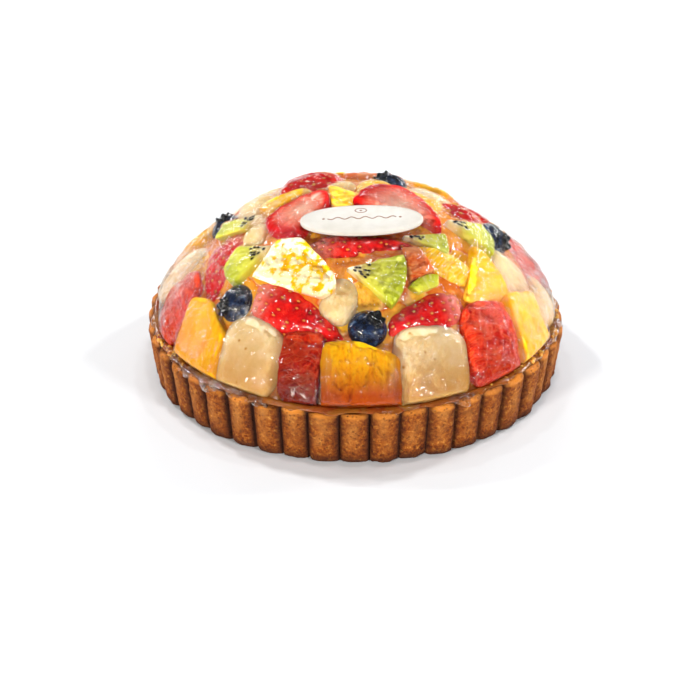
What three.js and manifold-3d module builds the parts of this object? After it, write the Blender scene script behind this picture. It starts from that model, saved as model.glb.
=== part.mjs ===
// A round fruit tart, 150 mm across: a fluted shortcrust case, a jelly mound that fills it, a packed
// dome of cut fruit and berries set in the mound, and an oval white chocolate plaque on top.
// Millimetres, +Z up. The origin is the middle of the case's underside, and -Y is the front.
import * as THREE from "three";
import { mergeVertices } from "three/addons/utils/BufferGeometryUtils.js";
import Module from "manifold-3d";

const wasm = await Module();
wasm.setup();

// The case
const rimRadius = 75;
const footRadius = 72.6;
const caseHeight = 20.4;
const fluteCount = 44;
const pointsPerFlute = 6;
const fluteDepth = 2.6;
const fluteSharpness = 4;
// Share of the flutes' depth at the foot, above the foot's chamfer and at the rim's top edge
const footFlutes = 0.8;
const chamferFlutes = 0.9;
const topFlutes = 0.95;
const wallThickness = 4.6;
const floorThickness = 5;
const footChamfer = 0.9;
const rimChamfer = 1.2;
const hollowFoot = footRadius - fluteDepth - wallThickness;
const hollowRim = rimRadius - wallThickness;

// The dome of fruit: its outer surface stands domeHeight above the rim and meets it at domeRadius.
const domeRadius = 73;
const domeHeight = 46;
const domeFullness = 2.5;

// The fruit lies on the jelly mound in a layer of this thickness.
const layerThickness = 7.5;
const moundSides = 36;
const moundSteps = 8;

// The fruit is drawn larger than its sizes by this factor, and then cut back to its neighbours.
const packing = 1.12;
const gap = 0.3;
const rimClearance = 0.4;

// Points closer than this are one point, and a face may stray this far when small faces are merged.
const samePoint = 1e-4;
const strayed = 0.03;

// The planes that cut a piece clear of a neighbour face these ways, in the piece's own axes: all
// round its z axis, level or tilted, and straight down.
const cutTurns = 16;
const cutTilts = [-0.6, 0, 0.6];
const cutDirections = [new THREE.Vector3(0, 0, -1)];
for (let i = 0; i < cutTurns; i++) {
  const turn = (2 * Math.PI * i) / cutTurns;
  for (const tilt of cutTilts) {
    cutDirections.push(new THREE.Vector3(Math.cos(turn), Math.sin(turn), tilt).normalize());
  }
}

// Finishes: colour, roughness
const finishes = {
  crust: [0xb9733a, 0.85],
  jelly: [0xd9862f, 0.2],
  chocolate: [0xf6efdf, 0.45],
  strawberry: [0xc8141c, 0.25],
  slice: [0xe98a78, 0.3],
  blueberry: [0x1c2740, 0.35],
  kiwi: [0xb6c33a, 0.3],
  mango: [0xf3ac12, 0.3],
  pear: [0xdcbf8c, 0.3],
  grapefruit: [0xd2421f, 0.25],
  orange: [0xf4a313, 0.25],
  papaya: [0xdf6a24, 0.3],
};

// Draws numbers from 0 to 1 that are the same on each run.
function seeded(seed) {
  let state = seed * 2654435761 + 1013904223;
  return () => {
    state = (Math.imul(state ^ (state >>> 15), 2246822519) + 3266489917) | 0;
    return ((state ^ (state >>> 13)) >>> 0) / 4294967296;
  };
}

// Height of the fruit's outer surface at a distance from the axis.
function domeZ(reach) {
  return caseHeight + domeHeight * (1 - (reach / domeRadius) ** domeFullness);
}

// Rise of that surface for each millimetre outwards.
function domeSlope(reach) {
  return ((-domeHeight * domeFullness) / domeRadius) * (reach / domeRadius) ** (domeFullness - 1);
}

// Outlines, each a closed list of points round the middle of a piece of length 2a and width 2b
function blockOutline(a, b, squareness, sides) {
  const power = (value) => Math.sign(value) * Math.abs(value) ** (2 / squareness);
  return Array.from({ length: sides }, (_, i) => {
    const turn = (2 * Math.PI * (i + 0.5)) / sides;
    return new THREE.Vector2(a * power(Math.cos(turn)), b * power(Math.sin(turn)));
  });
}

function heartOutline(a, b, sides = 10) {
  return Array.from({ length: sides }, (_, i) => {
    const turn = (2 * Math.PI * i) / sides;
    const narrowing = (1 - 0.45 * Math.cos(turn)) / 1.1;
    return new THREE.Vector2(a * Math.cos(turn), b * Math.sin(turn) * narrowing);
  });
}

// A wedge of a round slice: its point is at -x and its rind is an arc at +x.
function wedgeOutline(a, b) {
  const halfAngle = Math.atan2(b, 1.7 * a);
  const shape = new THREE.Shape();
  shape.moveTo(-a, 0);
  shape.lineTo(2 * a * Math.cos(halfAngle) - a, -2 * a * Math.sin(halfAngle));
  shape.absarc(-a, 0, 2 * a, -halfAngle, halfAngle);
  return shape.getPoints(3);
}

// A citrus segment: a nearly straight inner edge and a bowed outer one.
function segmentOutline(a, b) {
  const shape = new THREE.Shape();
  shape.moveTo(-a, -0.5 * b);
  shape.quadraticCurveTo(0, -1.35 * b, a, -0.5 * b);
  shape.bezierCurveTo(0.8 * a, 1.25 * b, -0.8 * a, 1.25 * b, -a, -0.5 * b);
  return shape.getPoints(4).slice(0, -1);
}

// Each kind of piece: its outline, its rings as [share of the outline, share of the thickness from
// the middle], and its finish. The last ring closes on a point at the top.
const kinds = {
  pear: {
    outline: (a, b) => blockOutline(a, b, 2.9, 10),
    rings: [[0.75, -0.5], [1, 0], [0.93, 0.27], [0.62, 0.45]],
    wobble: 0.05,
  },
  mango: {
    outline: (a, b) => blockOutline(a, b, 5, 8),
    rings: [[0.86, -0.5], [1, 0.1], [0.88, 0.42]],
    wobble: 0.04,
  },
  papaya: {
    outline: (a, b) => blockOutline(a, b, 3.4, 8),
    rings: [[0.8, -0.5], [1, 0.1], [0.82, 0.4]],
    wobble: 0.06,
  },
  grapefruit: {
    outline: segmentOutline,
    rings: [[0.72, -0.5], [1, 0], [0.8, 0.36]],
    wobble: 0.05,
  },
  orange: {
    outline: segmentOutline,
    rings: [[0.72, -0.5], [1, 0], [0.8, 0.36]],
    wobble: 0.04,
  },
  strawberry: {
    outline: heartOutline,
    rings: [[0.9, -0.5], [1, -0.3], [0.9, 0.14], [0.58, 0.41]],
    wobble: 0.03,
  },
  slice: {
    outline: heartOutline,
    rings: [[0.95, -0.5], [1, 0.1], [0.93, 0.5]],
    wobble: 0.03,
  },
  kiwi: {
    outline: wedgeOutline,
    rings: [[0.95, -0.5], [1, 0.36], [0.94, 0.5]],
    wobble: 0.02,
  },
};

// Every piece of fruit, the ones on top first. The first word of the name is its kind. azimuth is in
// degrees from the front towards +X, and reach is the distance from the axis. spin turns the piece's
// long axis, in degrees from level towards uphill. size is length, width and thickness, and lift is
// how far it stands proud.
const fruit = [
  { name: "blueberry_1", azimuth: -50, reach: 55.2, spin: 120, size: [14.5, 13.5, 12], lift: 2.5 },
  { name: "blueberry_2", azimuth: 4.5, reach: 55, spin: 60, size: [14, 14, 12], lift: 2.5 },
  { name: "blueberry_3", azimuth: 97.5, reach: 50.5, spin: 0, size: [13.5, 13.5, 11], lift: 3 },
  { name: "blueberry_4", azimuth: 151, reach: 27, spin: 60, size: [13, 13, 11], lift: 1.5 },
  { name: "blueberry_5", azimuth: -111, reach: 52, spin: 200, size: [13, 13, 11], lift: 1.5 },
  { name: "slice_1", azimuth: -68.5, reach: 20, spin: 126, size: [25, 19, 10], lift: 1 },
  { name: "slice_2", azimuth: 69, reach: 17.5, spin: -105, size: [30, 23, 10], lift: 1 },
  { name: "strawberry_1", azimuth: -73, reach: 51.5, spin: -42, size: [32, 20, 13], lift: 0.5 },
  { name: "strawberry_2", azimuth: -24, reach: 53.3, spin: -13, size: [36.5, 17.5, 12], lift: 1.5 },
  { name: "strawberry_3", azimuth: 25.8, reach: 53.8, spin: 186, size: [33, 14.5, 12], lift: 1 },
  { name: "strawberry_4", azimuth: 4, reach: 26.8, spin: 0, size: [36, 12.5, 12], lift: 0.5 },
  { name: "strawberry_5", azimuth: 105, reach: 42, spin: 70, size: [23, 16, 12], lift: 0.5 },
  { name: "strawberry_6", azimuth: -138, reach: 28.5, spin: 15, size: [33, 20, 13], lift: 2 },
  { name: "strawberry_7", azimuth: 121, reach: 54, spin: 170, size: [31, 18, 12], lift: 0.5 },
  { name: "strawberry_8", azimuth: -163, reach: 52.5, spin: 8, size: [34, 22, 12], lift: 0.5 },
  { name: "kiwi_1", azimuth: -88.5, reach: 42, spin: -98, size: [18, 17, 9], lift: 0.5 },
  { name: "kiwi_2", azimuth: -60, reach: 43.8, spin: -118, size: [17, 18, 9], lift: 0.5 },
  { name: "kiwi_3", azimuth: 10.5, reach: 40, spin: -20, size: [18, 18, 9], lift: 0.5 },
  { name: "kiwi_4", azimuth: 33.2, reach: 48, spin: 95, size: [11, 11, 9], lift: 0 },
  { name: "kiwi_5", azimuth: 83, reach: 41, spin: -72, size: [18, 15, 9], lift: 1 },
  { name: "kiwi_6", azimuth: 50, reach: 32.3, spin: -42, size: [15, 8, 9], lift: 0 },
  { name: "kiwi_7", azimuth: 172, reach: 51, spin: -80, size: [19, 19, 9], lift: 0.5 },
  { name: "orange_1", azimuth: 54.5, reach: 41, spin: -80, size: [19, 18, 10], lift: 0.5 },
  { name: "orange_2", azimuth: 150, reach: 14, spin: -60, size: [22, 15, 9], lift: 0 },
  { name: "mango_big", azimuth: -36, reach: 39.5, spin: 22, size: [33, 24, 12], lift: 1 },
  { name: "mango_2", azimuth: 56.5, reach: 48.8, spin: -12, size: [27, 20, 12], lift: 0.5 },
  { name: "mango_3", azimuth: -100, reach: 5, spin: 60, size: [23, 13, 9], lift: 0 },
  { name: "mango_4", azimuth: -101, reach: 25.3, spin: 135, size: [17, 12, 10], lift: 1 },
  { name: "mango_5", azimuth: 111, reach: 22.4, spin: -136, size: [19, 11, 10], lift: -0.5 },
  { name: "papaya_1", azimuth: 33, reach: 40.8, spin: -17, size: [17, 19, 11], lift: 0.5 },
  { name: "pear_small_1", azimuth: -13, reach: 47.9, spin: 6, size: [21, 18, 11], lift: 0.5 },
  { name: "pear_small_2", azimuth: -112, reach: 39, spin: 60, size: [19, 15, 10], lift: 1 },
  { name: "pear_small_3", azimuth: -72.5, reach: 37.5, spin: 47, size: [12, 13, 10], lift: 0.5 },
  { name: "pear_small_4", azimuth: -155, reach: 11, spin: 20, size: [17, 15, 9], lift: 0 },
  { name: "pear_right", azimuth: 85, reach: 53, spin: 55, size: [28, 24, 13], lift: 0.5 },
  { name: "pear_back", azimuth: 124, reach: 34, spin: 30, size: [22, 19, 11], lift: -1 },
  { name: "papaya_2", azimuth: 169, reach: 36.5, spin: 0, size: [21, 18, 11], lift: 0 },
  { name: "mango_back", azimuth: -163, reach: 38, spin: 12, size: [22, 19, 11], lift: 0.5 },
  { name: "mango_6", azimuth: 147.5, reach: 51, spin: 5, size: [25, 23, 12], lift: 0.5 },
  { name: "pear_left", azimuth: -135, reach: 51, spin: 20, size: [28, 24, 12], lift: 0.5 },
  { name: "mango_front_1", azimuth: -54.5, reach: 66, spin: 108, size: [28, 22, 13], lift: 1.5 },
  { name: "pear_front_1", azimuth: -36, reach: 65, spin: 97, size: [30, 26, 14], lift: 2 },
  { name: "mango_front_2", azimuth: 1.8, reach: 66, spin: 90, size: [27, 24, 14], lift: 2 },
  { name: "pear_front_2", azimuth: 23, reach: 65, spin: 78, size: [32, 28, 14], lift: 2 },
  { name: "grapefruit_front_1", azimuth: -77, reach: 65, spin: 105, size: [31, 28, 13], lift: 1.5 },
  { name: "grapefruit_front_2", azimuth: -17, reach: 64, spin: 92, size: [33, 25, 12], lift: 1.5 },
  { name: "grapefruit_front_3", azimuth: 45, reach: 64, spin: 72, size: [36, 31, 14], lift: 2 },
  { name: "mango_front_3", azimuth: 66, reach: 65, spin: 66, size: [30, 22, 13], lift: 1.5 },
  { name: "pear_side_1", azimuth: 86, reach: 66.5, spin: 95, size: [23, 22, 13], lift: 1.5 },
  { name: "grapefruit_back_1", azimuth: 108, reach: 65.5, spin: 85, size: [28, 25, 13], lift: 1.5 },
  { name: "mango_side_1", azimuth: 131, reach: 66, spin: 98, size: [26, 23, 13], lift: 1.5 },
  { name: "pear_side_2", azimuth: 153, reach: 65.5, spin: 84, size: [27, 27, 14], lift: 2 },
  { name: "grapefruit_back_2", azimuth: 176, reach: 65.5, spin: 96, size: [28, 26, 13], lift: 1.5 },
  { name: "mango_side_2", azimuth: -161, reach: 66, spin: 86, size: [26, 24, 13], lift: 2 },
  { name: "pear_side_3", azimuth: -139, reach: 65.5, spin: 94, size: [27, 26, 14], lift: 1.5 },
  { name: "mango_side_3", azimuth: -118, reach: 66, spin: 80, size: [27, 22, 13], lift: 1.5 },
  { name: "pear_side_4", azimuth: -98, reach: 65.5, spin: 92, size: [27, 21, 13], lift: 1.5 },
];

const plaque = {
  length: 43,
  width: 20,
  thickness: 3.4,
  azimuth: 7,
  reach: 17.5,
  spin: 4,
  lean: 2,
  lift: 2.6,
  sides: 30,
  squareness: 2.15,
  // Share of the outline and of half the thickness, from below
  rings: [[0.96, -1], [1, -0.3], [1, 0.3], [0.95, 1]],
};

// Joins rings of points, each with as many points as the next, into one closed surface. A fan closes
// it below on the point bottom and above on the point top.
function loft(rings, bottom, top) {
  const sides = rings[0].length;
  const points = [...rings.flat(), bottom, top];
  const index = [];
  for (let i = 0; i < sides; i++) {
    const next = (i + 1) % sides;
    for (let level = 0; level + 1 < rings.length; level++) {
      const [low, high] = [level * sides, (level + 1) * sides];
      index.push(low + i, low + next, high + next, low + i, high + next, high + i);
    }
    const last = (rings.length - 1) * sides;
    index.push(points.length - 2, next, i);
    index.push(points.length - 1, last + i, last + next);
  }
  const geometry = new THREE.BufferGeometry().setFromPoints(points);
  geometry.setIndex(index);
  return geometry;
}

// Turns a profile of [distance from the axis, height] pairs round the Z axis.
function turned(profile, sides) {
  const points = profile.map(([x, y]) => new THREE.Vector2(x, y));
  return new THREE.LatheGeometry(points, sides).rotateX(Math.PI / 2);
}

function kindOf(piece) {
  return piece.name.split("_")[0];
}

// A cut piece of fruit: its kind's outline at each of the kind's rings, made uneven by a seeded draw.
function cutPiece(piece, seed) {
  const { outline, rings, wobble } = kinds[kindOf(piece)];
  const [length, width, thickness] = piece.size;
  const draw = seeded(seed);
  const edge = outline((length * packing) / 2, (width * packing) / 2);
  const uneven = edge.map(() => 1 + wobble * (2 * draw() - 1));
  const levels = rings.map(([share, rise]) =>
    edge.map(({ x, y }, i) => {
      const scale = share * uneven[i];
      return new THREE.Vector3(x * scale, y * scale, rise * thickness);
    }),
  );
  const lowest = new THREE.Vector3(0, 0, rings[0][1] * thickness);
  return loft(levels, lowest, new THREE.Vector3(0, 0, thickness / 2));
}

// A blueberry: a squat ball whose crown is a raised ring round a hollow, towards +z.
const berrySides = 12;
const berryProfile = [
  [0, -1], [0.62, -0.78], [0.95, -0.28], [0.95, 0.3], [0.66, 0.76], [0.42, 0.98], [0.3, 0.84], [0, 0.7],
];
function berry({ size }) {
  return turned(berryProfile.map(([x, y]) => [(x * size[0]) / 2, (y * size[2]) / 2]), berrySides);
}

// The white chocolate plaque: a flat oval with a rounded edge.
function oval() {
  const half = plaque.thickness / 2;
  const edge = blockOutline(plaque.length / 2, plaque.width / 2, plaque.squareness, plaque.sides);
  const rings = plaque.rings.map(([share, rise]) =>
    edge.map(({ x, y }) => new THREE.Vector3(x * share, y * share, rise * half)),
  );
  return loft(rings, new THREE.Vector3(0, 0, -half), new THREE.Vector3(0, 0, half));
}

// Sets an object on the dome: its z axis follows the surface's normal there, or leans by a given
// angle instead. Its x axis is level and then turned by spin, and its top is lift above the surface.
function setOnDome(object, { azimuth, reach, spin, lift, lean }, thickness) {
  const around = THREE.MathUtils.degToRad(azimuth);
  const turn = THREE.MathUtils.degToRad(spin);
  const out = new THREE.Vector3(Math.sin(around), -Math.cos(around), 0);
  const level = new THREE.Vector3(Math.cos(around), Math.sin(around), 0);
  const normal = out.clone().multiplyScalar(-domeSlope(reach)).setZ(1).normalize();
  const uphill = new THREE.Vector3().crossVectors(normal, level);
  if (lean === undefined) {
    object.quaternion.setFromRotationMatrix(new THREE.Matrix4().makeBasis(level, uphill, normal));
    object.rotateZ(turn);
  } else {
    object.rotation.set(THREE.MathUtils.degToRad(lean), 0, turn);
  }
  object.position.copy(out.multiplyScalar(reach)).setZ(domeZ(reach));
  object.position.addScaledVector(normal, lift - thickness / 2);
  object.updateMatrixWorld();
}

// A geometry as a solid, moved by a matrix first. Triangles whose corners have become one point are
// left out.
function solidOf(geometry, matrix = new THREE.Matrix4()) {
  const bare = new THREE.BufferGeometry();
  const flat = geometry.index ? geometry.toNonIndexed() : geometry;
  bare.setAttribute("position", flat.getAttribute("position").clone());
  bare.applyMatrix4(matrix);
  const merged = mergeVertices(bare, samePoint);
  const corners = [...merged.index.array];
  const kept = [];
  for (let i = 0; i < corners.length; i += 3) {
    const [p, q, r] = corners.slice(i, i + 3);
    if (p !== q && q !== r && r !== p) kept.push(p, q, r);
  }
  return new wasm.Manifold(
    new wasm.Mesh({
      numProp: 3,
      vertProperties: merged.getAttribute("position").array,
      triVerts: new Uint32Array(kept),
    }),
  );
}

// The largest piece of a solid, as a geometry.
function geometryOf(solid) {
  const bodies = solid.decompose().sort((first, second) => second.volume() - first.volume());
  const { vertProperties, triVerts } = bodies[0].simplify(strayed).getMesh();
  const geometry = new THREE.BufferGeometry();
  geometry.setAttribute("position", new THREE.BufferAttribute(vertProperties, 3));
  geometry.setIndex(new THREE.BufferAttribute(triVerts, 1));
  geometry.computeVertexNormals();
  return geometry;
}

function mesh(name, geometry, finish) {
  const [color, roughness] = finishes[finish];
  const material = new THREE.MeshStandardMaterial({ color, roughness, metalness: 0 });
  const made = new THREE.Mesh(geometry, material);
  made.name = name;
  return made;
}

// The case: a fluted, slightly flared disc with a plain round hollow. Each flute bows out between
// two sharp valleys, and the flutes fade a little at the foot.
function buildCase() {
  const sides = fluteCount * pointsPerFlute;
  const ring = (radius, z, share) =>
    Array.from({ length: sides }, (_, i) => {
      const turn = (2 * Math.PI * i) / sides;
      const across = (2 * ((i + pointsPerFlute / 2) % pointsPerFlute)) / pointsPerFlute - 1;
      const distance = radius - Math.abs(across) ** fluteSharpness * fluteDepth * share;
      return new THREE.Vector3(distance * Math.sin(turn), -distance * Math.cos(turn), z);
    });
  const rings = [
    ring(footRadius - footChamfer, 0, footFlutes),
    ring(footRadius, footChamfer, chamferFlutes),
    ring(rimRadius, caseHeight - rimChamfer, 1),
    ring(rimRadius - rimChamfer, caseHeight, topFlutes),
  ];
  const block = loft(rings, new THREE.Vector3(0, 0, 0), new THREE.Vector3(0, 0, caseHeight));
  const hollow = [
    [0, floorThickness],
    [hollowFoot, floorThickness],
    [hollowRim, caseHeight],
    [hollowRim, caseHeight + rimChamfer],
    [0, caseHeight + rimChamfer],
  ];
  const cup = solidOf(block).subtract(solidOf(turned(hollow, moundSides)));
  return mesh("crust", geometryOf(cup), "crust");
}

// The jelly mound: it fills the case, and its top lies drop under the fruit's outer surface.
function mound(drop) {
  const profile = [
    [0, floorThickness + gap],
    [hollowFoot - gap, floorThickness + gap],
    [hollowRim - 2 * gap, caseHeight - gap],
  ];
  for (let i = 1; i <= moundSteps; i++) {
    const reach = domeRadius * Math.cos((Math.PI / 2) * (i / moundSteps));
    const normal = new THREE.Vector2(-domeSlope(reach), 1).normalize();
    const point = [reach - drop * normal.x, domeZ(reach) - drop * normal.y];
    if (i === moundSteps) point[0] = 0;
    if (point[1] > caseHeight - gap) profile.push(point);
  }
  return solidOf(turned(profile, moundSides));
}

// Cuts a solid back by the plane that leaves most of it while it clears a neighbour by the gap. The
// planes tried touch the neighbour on the side of the object that the solid belongs to.
function cutClear(solid, object, neighbour) {
  if (solid.minGap(neighbour.solid, gap) >= gap) return solid;
  const options = cutDirections.map((local) => {
    const direction = local.clone().transformDirection(object.matrixWorld);
    const touch = Math.max(...neighbour.points.map((point) => point.dot(direction)));
    return solid.trimByPlane(direction.toArray(), touch + gap);
  });
  return options.reduce((best, option) => (option.volume() > best.volume() ? option : best));
}

function asNeighbour(solid) {
  const { vertProperties } = solid.getMesh();
  const points = [];
  for (let i = 0; i < vertProperties.length; i += 3) {
    points.push(new THREE.Vector3().fromArray(vertProperties, i));
  }
  return { solid, points };
}

function buildTart() {
  const tart = new THREE.Group();
  const toppings = new THREE.Group();
  const shell = mound(layerThickness - gap);

  const top = mesh("plaque", oval(), "chocolate");
  setOnDome(top, plaque, plaque.thickness);
  toppings.add(top);
  const neighbours = [asNeighbour(solidOf(top.geometry, top.matrixWorld))];

  fruit.forEach((piece, order) => {
    const kind = kindOf(piece);
    const whole = kind === "blueberry" ? berry(piece) : cutPiece(piece, order + 1);
    const placed = mesh(piece.name, whole, kind);
    setOnDome(placed, piece, piece.size[2]);
    const clear = neighbours.reduce(
      (rest, neighbour) => cutClear(rest, placed, neighbour),
      solidOf(whole, placed.matrixWorld).trimByPlane([0, 0, 1], caseHeight + rimClearance),
    );
    neighbours.push(asNeighbour(clear));
    placed.geometry = geometryOf(clear.subtract(shell));
    placed.geometry.applyMatrix4(placed.matrixWorld.clone().invert());
    toppings.add(placed);
  });

  const filling = mesh("filling", geometryOf(mound(layerThickness)), "jelly");
  tart.add(buildCase(), filling, toppings);
  return tart;
}

export default buildTart();
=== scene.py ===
import functools
import itertools
import math

import bpy
import numpy as np
from mathutils import Matrix


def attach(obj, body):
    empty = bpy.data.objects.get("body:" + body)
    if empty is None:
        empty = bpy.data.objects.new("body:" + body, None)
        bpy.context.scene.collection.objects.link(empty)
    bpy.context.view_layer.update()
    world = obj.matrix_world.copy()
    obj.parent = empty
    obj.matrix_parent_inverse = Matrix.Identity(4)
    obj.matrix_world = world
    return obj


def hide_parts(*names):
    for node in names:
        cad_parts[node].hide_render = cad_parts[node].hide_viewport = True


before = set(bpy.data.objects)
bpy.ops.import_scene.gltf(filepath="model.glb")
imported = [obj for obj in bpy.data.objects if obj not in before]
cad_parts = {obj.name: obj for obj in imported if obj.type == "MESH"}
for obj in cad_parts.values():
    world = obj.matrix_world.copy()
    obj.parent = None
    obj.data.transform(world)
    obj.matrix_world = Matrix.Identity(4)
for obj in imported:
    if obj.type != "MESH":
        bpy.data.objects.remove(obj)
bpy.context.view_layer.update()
print("frame loaded:", len(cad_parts), "solids")

# Everything below is worked out in millimetres and goes into the meshes as metres.
dome = {"rimHeight": 20.4, "rise": 46.0, "reach": 73.0, "fullness": 2.5}
# A piece's flat underside lies bedDepth under the fruit's outer surface, and never under floor. The
# case keeps the piece within narrow at the floor, widening to wide at the height top. The solids end
# at the height base, and reach is where the dome's surface is read at the furthest.
seat = {"bedDepth": 8.2, "floor": 20.9, "base": 20.8, "narrow": 71.0, "wide": 75.0, "top": 26.5,
        "reach": 72.9}


def toLinear(colour):
    # sRGB hex to linear: each channel over 12.92 where it is dark, else ((c + 0.055) / 1.055) to the 2.4
    parts = [int(colour[i:i + 2], 16) / 255 for i in (1, 3, 5)]
    return tuple(c / 12.92 if c <= 0.04045 else ((c + 0.055) / 1.055) ** 2.4 for c in parts) + (1.0,)


def addNode(tree, kind, values=None, stops=None, **settings):
    # One shader node: settings are its own options, values fill its inputs with a number, a colour,
    # another node or one of its outputs, and stops are the places and colours of a ramp. Every mix is of
    # colours, which are its third output. Other nodes give their first.
    node = tree.nodes.new("ShaderNode" + kind)
    if kind == "Mix":
        node.data_type = "RGBA"
    for key, value in settings.items():
        setattr(node, key, value)
    for key, value in (values or {}).items():
        if isinstance(value, bpy.types.Node):
            value = value.outputs[2 if value.bl_idname == "ShaderNodeMix" else 0]
        if isinstance(value, bpy.types.NodeSocket):
            tree.links.new(value, node.inputs[key])
        else:
            node.inputs[key].default_value = toLinear(value) if isinstance(value, str) else value
    for number, (place, colour) in enumerate(stops or []):
        ramp = node.color_ramp.elements
        stop = ramp[number] if number < 2 else ramp.new(place)
        stop.position = place
        stop.color = toLinear(colour)
    return node


def newMaterial(name):
    # An empty material, and addNode for its own tree
    material = bpy.data.materials.new(name)
    material.use_nodes = True
    material.node_tree.nodes.clear()
    return material, functools.partial(addNode, material.node_tree)


def smoothStep(low, high, value):
    # 0 below low, 1 above high, and 3 s^2 - 2 s^3 between them
    share = np.clip((value - low) / (high - low), 0, 1)
    return share * share * (3 - 2 * share)


def latticeNoise(points, size, seed):
    # A random value from -1 to 1 at each corner of a cubic lattice of that size, blended smoothly
    # between the eight corners round a point
    cell = points / size
    base = np.floor(cell).astype(np.int64)
    part = cell - base
    part = part * part * (3 - 2 * part)
    total = np.zeros(len(points))
    for corner in itertools.product((0, 1), repeat=3):
        at = base + np.array(corner)
        mixed = (at[:, 0] * 73856093) ^ (at[:, 1] * 19349663) ^ (at[:, 2] * 83492791) ^ (seed * 2654435)
        mixed = ((mixed ^ (mixed >> 13)) * 1274126177) & 0xFFFFFFFF
        mixed = (mixed ^ (mixed >> 16)) & 0xFFFF
        total += np.prod(np.where(corner, part, 1 - part), axis=1) * (mixed / 32767.5 - 1)
    return total


def roughNoise(points, size, seed, layers=3):
    # Lattice noise plus finer and fainter layers of itself, each half the size and height of the last
    total = np.zeros(len(points))
    for layer in range(layers):
        total += latticeNoise(points, size / 2 ** layer, seed + 17 * layer) / 2 ** layer
    return total


def ringFaces(rings, columns):
    # Faces of a grid that closes round: quads between neighbouring rings, and fans of triangles from
    # the first and last points, which are the poles
    ring, column = np.meshgrid(np.arange(rings - 1), np.arange(columns), indexing="ij")
    here = 1 + ring * columns + column
    beside = 1 + ring * columns + (column + 1) % columns
    quads = np.stack([here, here + columns, beside + columns, beside], -1).reshape(-1, 4)
    turn = np.arange(columns)
    after = (turn + 1) % columns
    last = 1 + (rings - 1) * columns
    start = np.stack([np.zeros_like(turn), 1 + turn, 1 + after], -1)
    end = np.stack([np.full_like(turn, last + columns), last + after, last + turn], -1)
    return [quads, start, end]


def loopFaces(steps, around):
    # Faces of a small ring carried round a closed path: quads that close both ways
    step, side = np.meshgrid(np.arange(steps), np.arange(around), indexing="ij")
    here, after = step * around, (step + 1) % steps * around
    beside = (side + 1) % around
    return [np.stack([here + side, after + side, after + beside, here + beside], -1).reshape(-1, 4)]


def enclosed(points, faceSets):
    # Signed volume: the sum of a . (b x c) / 6 over the triangles that fan out in each face
    total = 0.0
    for faces in faceSets:
        for k in range(1, faces.shape[1] - 1):
            a, b, c = points[faces[:, 0]], points[faces[:, k]], points[faces[:, k + 1]]
            total += np.einsum("ij,ij->", a, np.cross(b, c)) / 6
    return total


def joined(parts):
    # Several shells as one mesh. Each part is (points, face sets, material number, attributes), and
    # one that is inside out is turned round.
    points, faces, numbers, shift = [], [], [], 0
    names = sorted({name for part in parts for name in part[3]})
    attributes = {name: [] for name in names}
    for shell, faceSets, number, extra in parts:
        inside = enclosed(shell, faceSets) < 0
        for group in faceSets:
            faces.append((group[:, ::-1] if inside else group) + shift)
            numbers.append(np.full(len(group), number))
        for name in names:
            width = 3 if name in ("place", "radial") else 1
            attributes[name].append(np.reshape(extra.get(name, np.zeros((len(shell), width))), (-1, width)))
        points.append(shell)
        shift += len(shell)
    return np.concatenate(points), faces, numbers, {k: np.concatenate(v) for k, v in attributes.items()}


def makePiece(name, parts, materials, replaced=()):
    # Puts the joined shells into one mesh object that rides on the tart's only body
    points, faceSets, numbers, attributes = joined(parts)
    mesh = bpy.data.meshes.new(name)
    mesh.vertices.add(len(points))
    mesh.vertices.foreach_set("co", (points / 1000).astype(np.float32).ravel())
    corners = np.concatenate([faces.ravel() for faces in faceSets])
    sizes = np.concatenate([np.full(len(faces), faces.shape[1]) for faces in faceSets])
    mesh.loops.add(len(corners))
    mesh.loops.foreach_set("vertex_index", corners.astype(np.int32))
    mesh.polygons.add(len(sizes))
    mesh.polygons.foreach_set("loop_start", (np.cumsum(sizes) - sizes).astype(np.int32))
    mesh.polygons.foreach_set("material_index", np.concatenate(numbers).astype(np.int32))
    mesh.polygons.foreach_set("use_smooth", np.ones(len(sizes), bool))
    for key, values in attributes.items():
        kind, field = ("FLOAT_VECTOR", "vector") if values.shape[1] == 3 else ("FLOAT", "value")
        mesh.attributes.new(key, kind, "POINT").data.foreach_set(field, values.astype(np.float32).ravel())
    for material in materials:
        mesh.materials.append(material)
    mesh.update(calc_edges=True)
    mesh.validate()
    piece = bpy.data.objects.new(name, mesh)
    bpy.context.scene.collection.objects.link(piece)
    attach(piece, "root")
    if replaced:
        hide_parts(*replaced)
    return piece


def domeZ(reach):
    # Height of the fruit's outer surface: rim height + rise times (1 - (reach / dome reach)^fullness)
    share = np.minimum(reach, 80) / dome["reach"]
    return dome["rimHeight"] + dome["rise"] * (1 - share ** dome["fullness"])


def domeSlope(reach):
    # How steeply that surface falls: -rise times fullness / dome reach times
    # (reach / dome reach)^(fullness - 1)
    steep = -dome["rise"] * dome["fullness"] / dome["reach"]
    return steep * (reach / dome["reach"]) ** (dome["fullness"] - 1)


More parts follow.
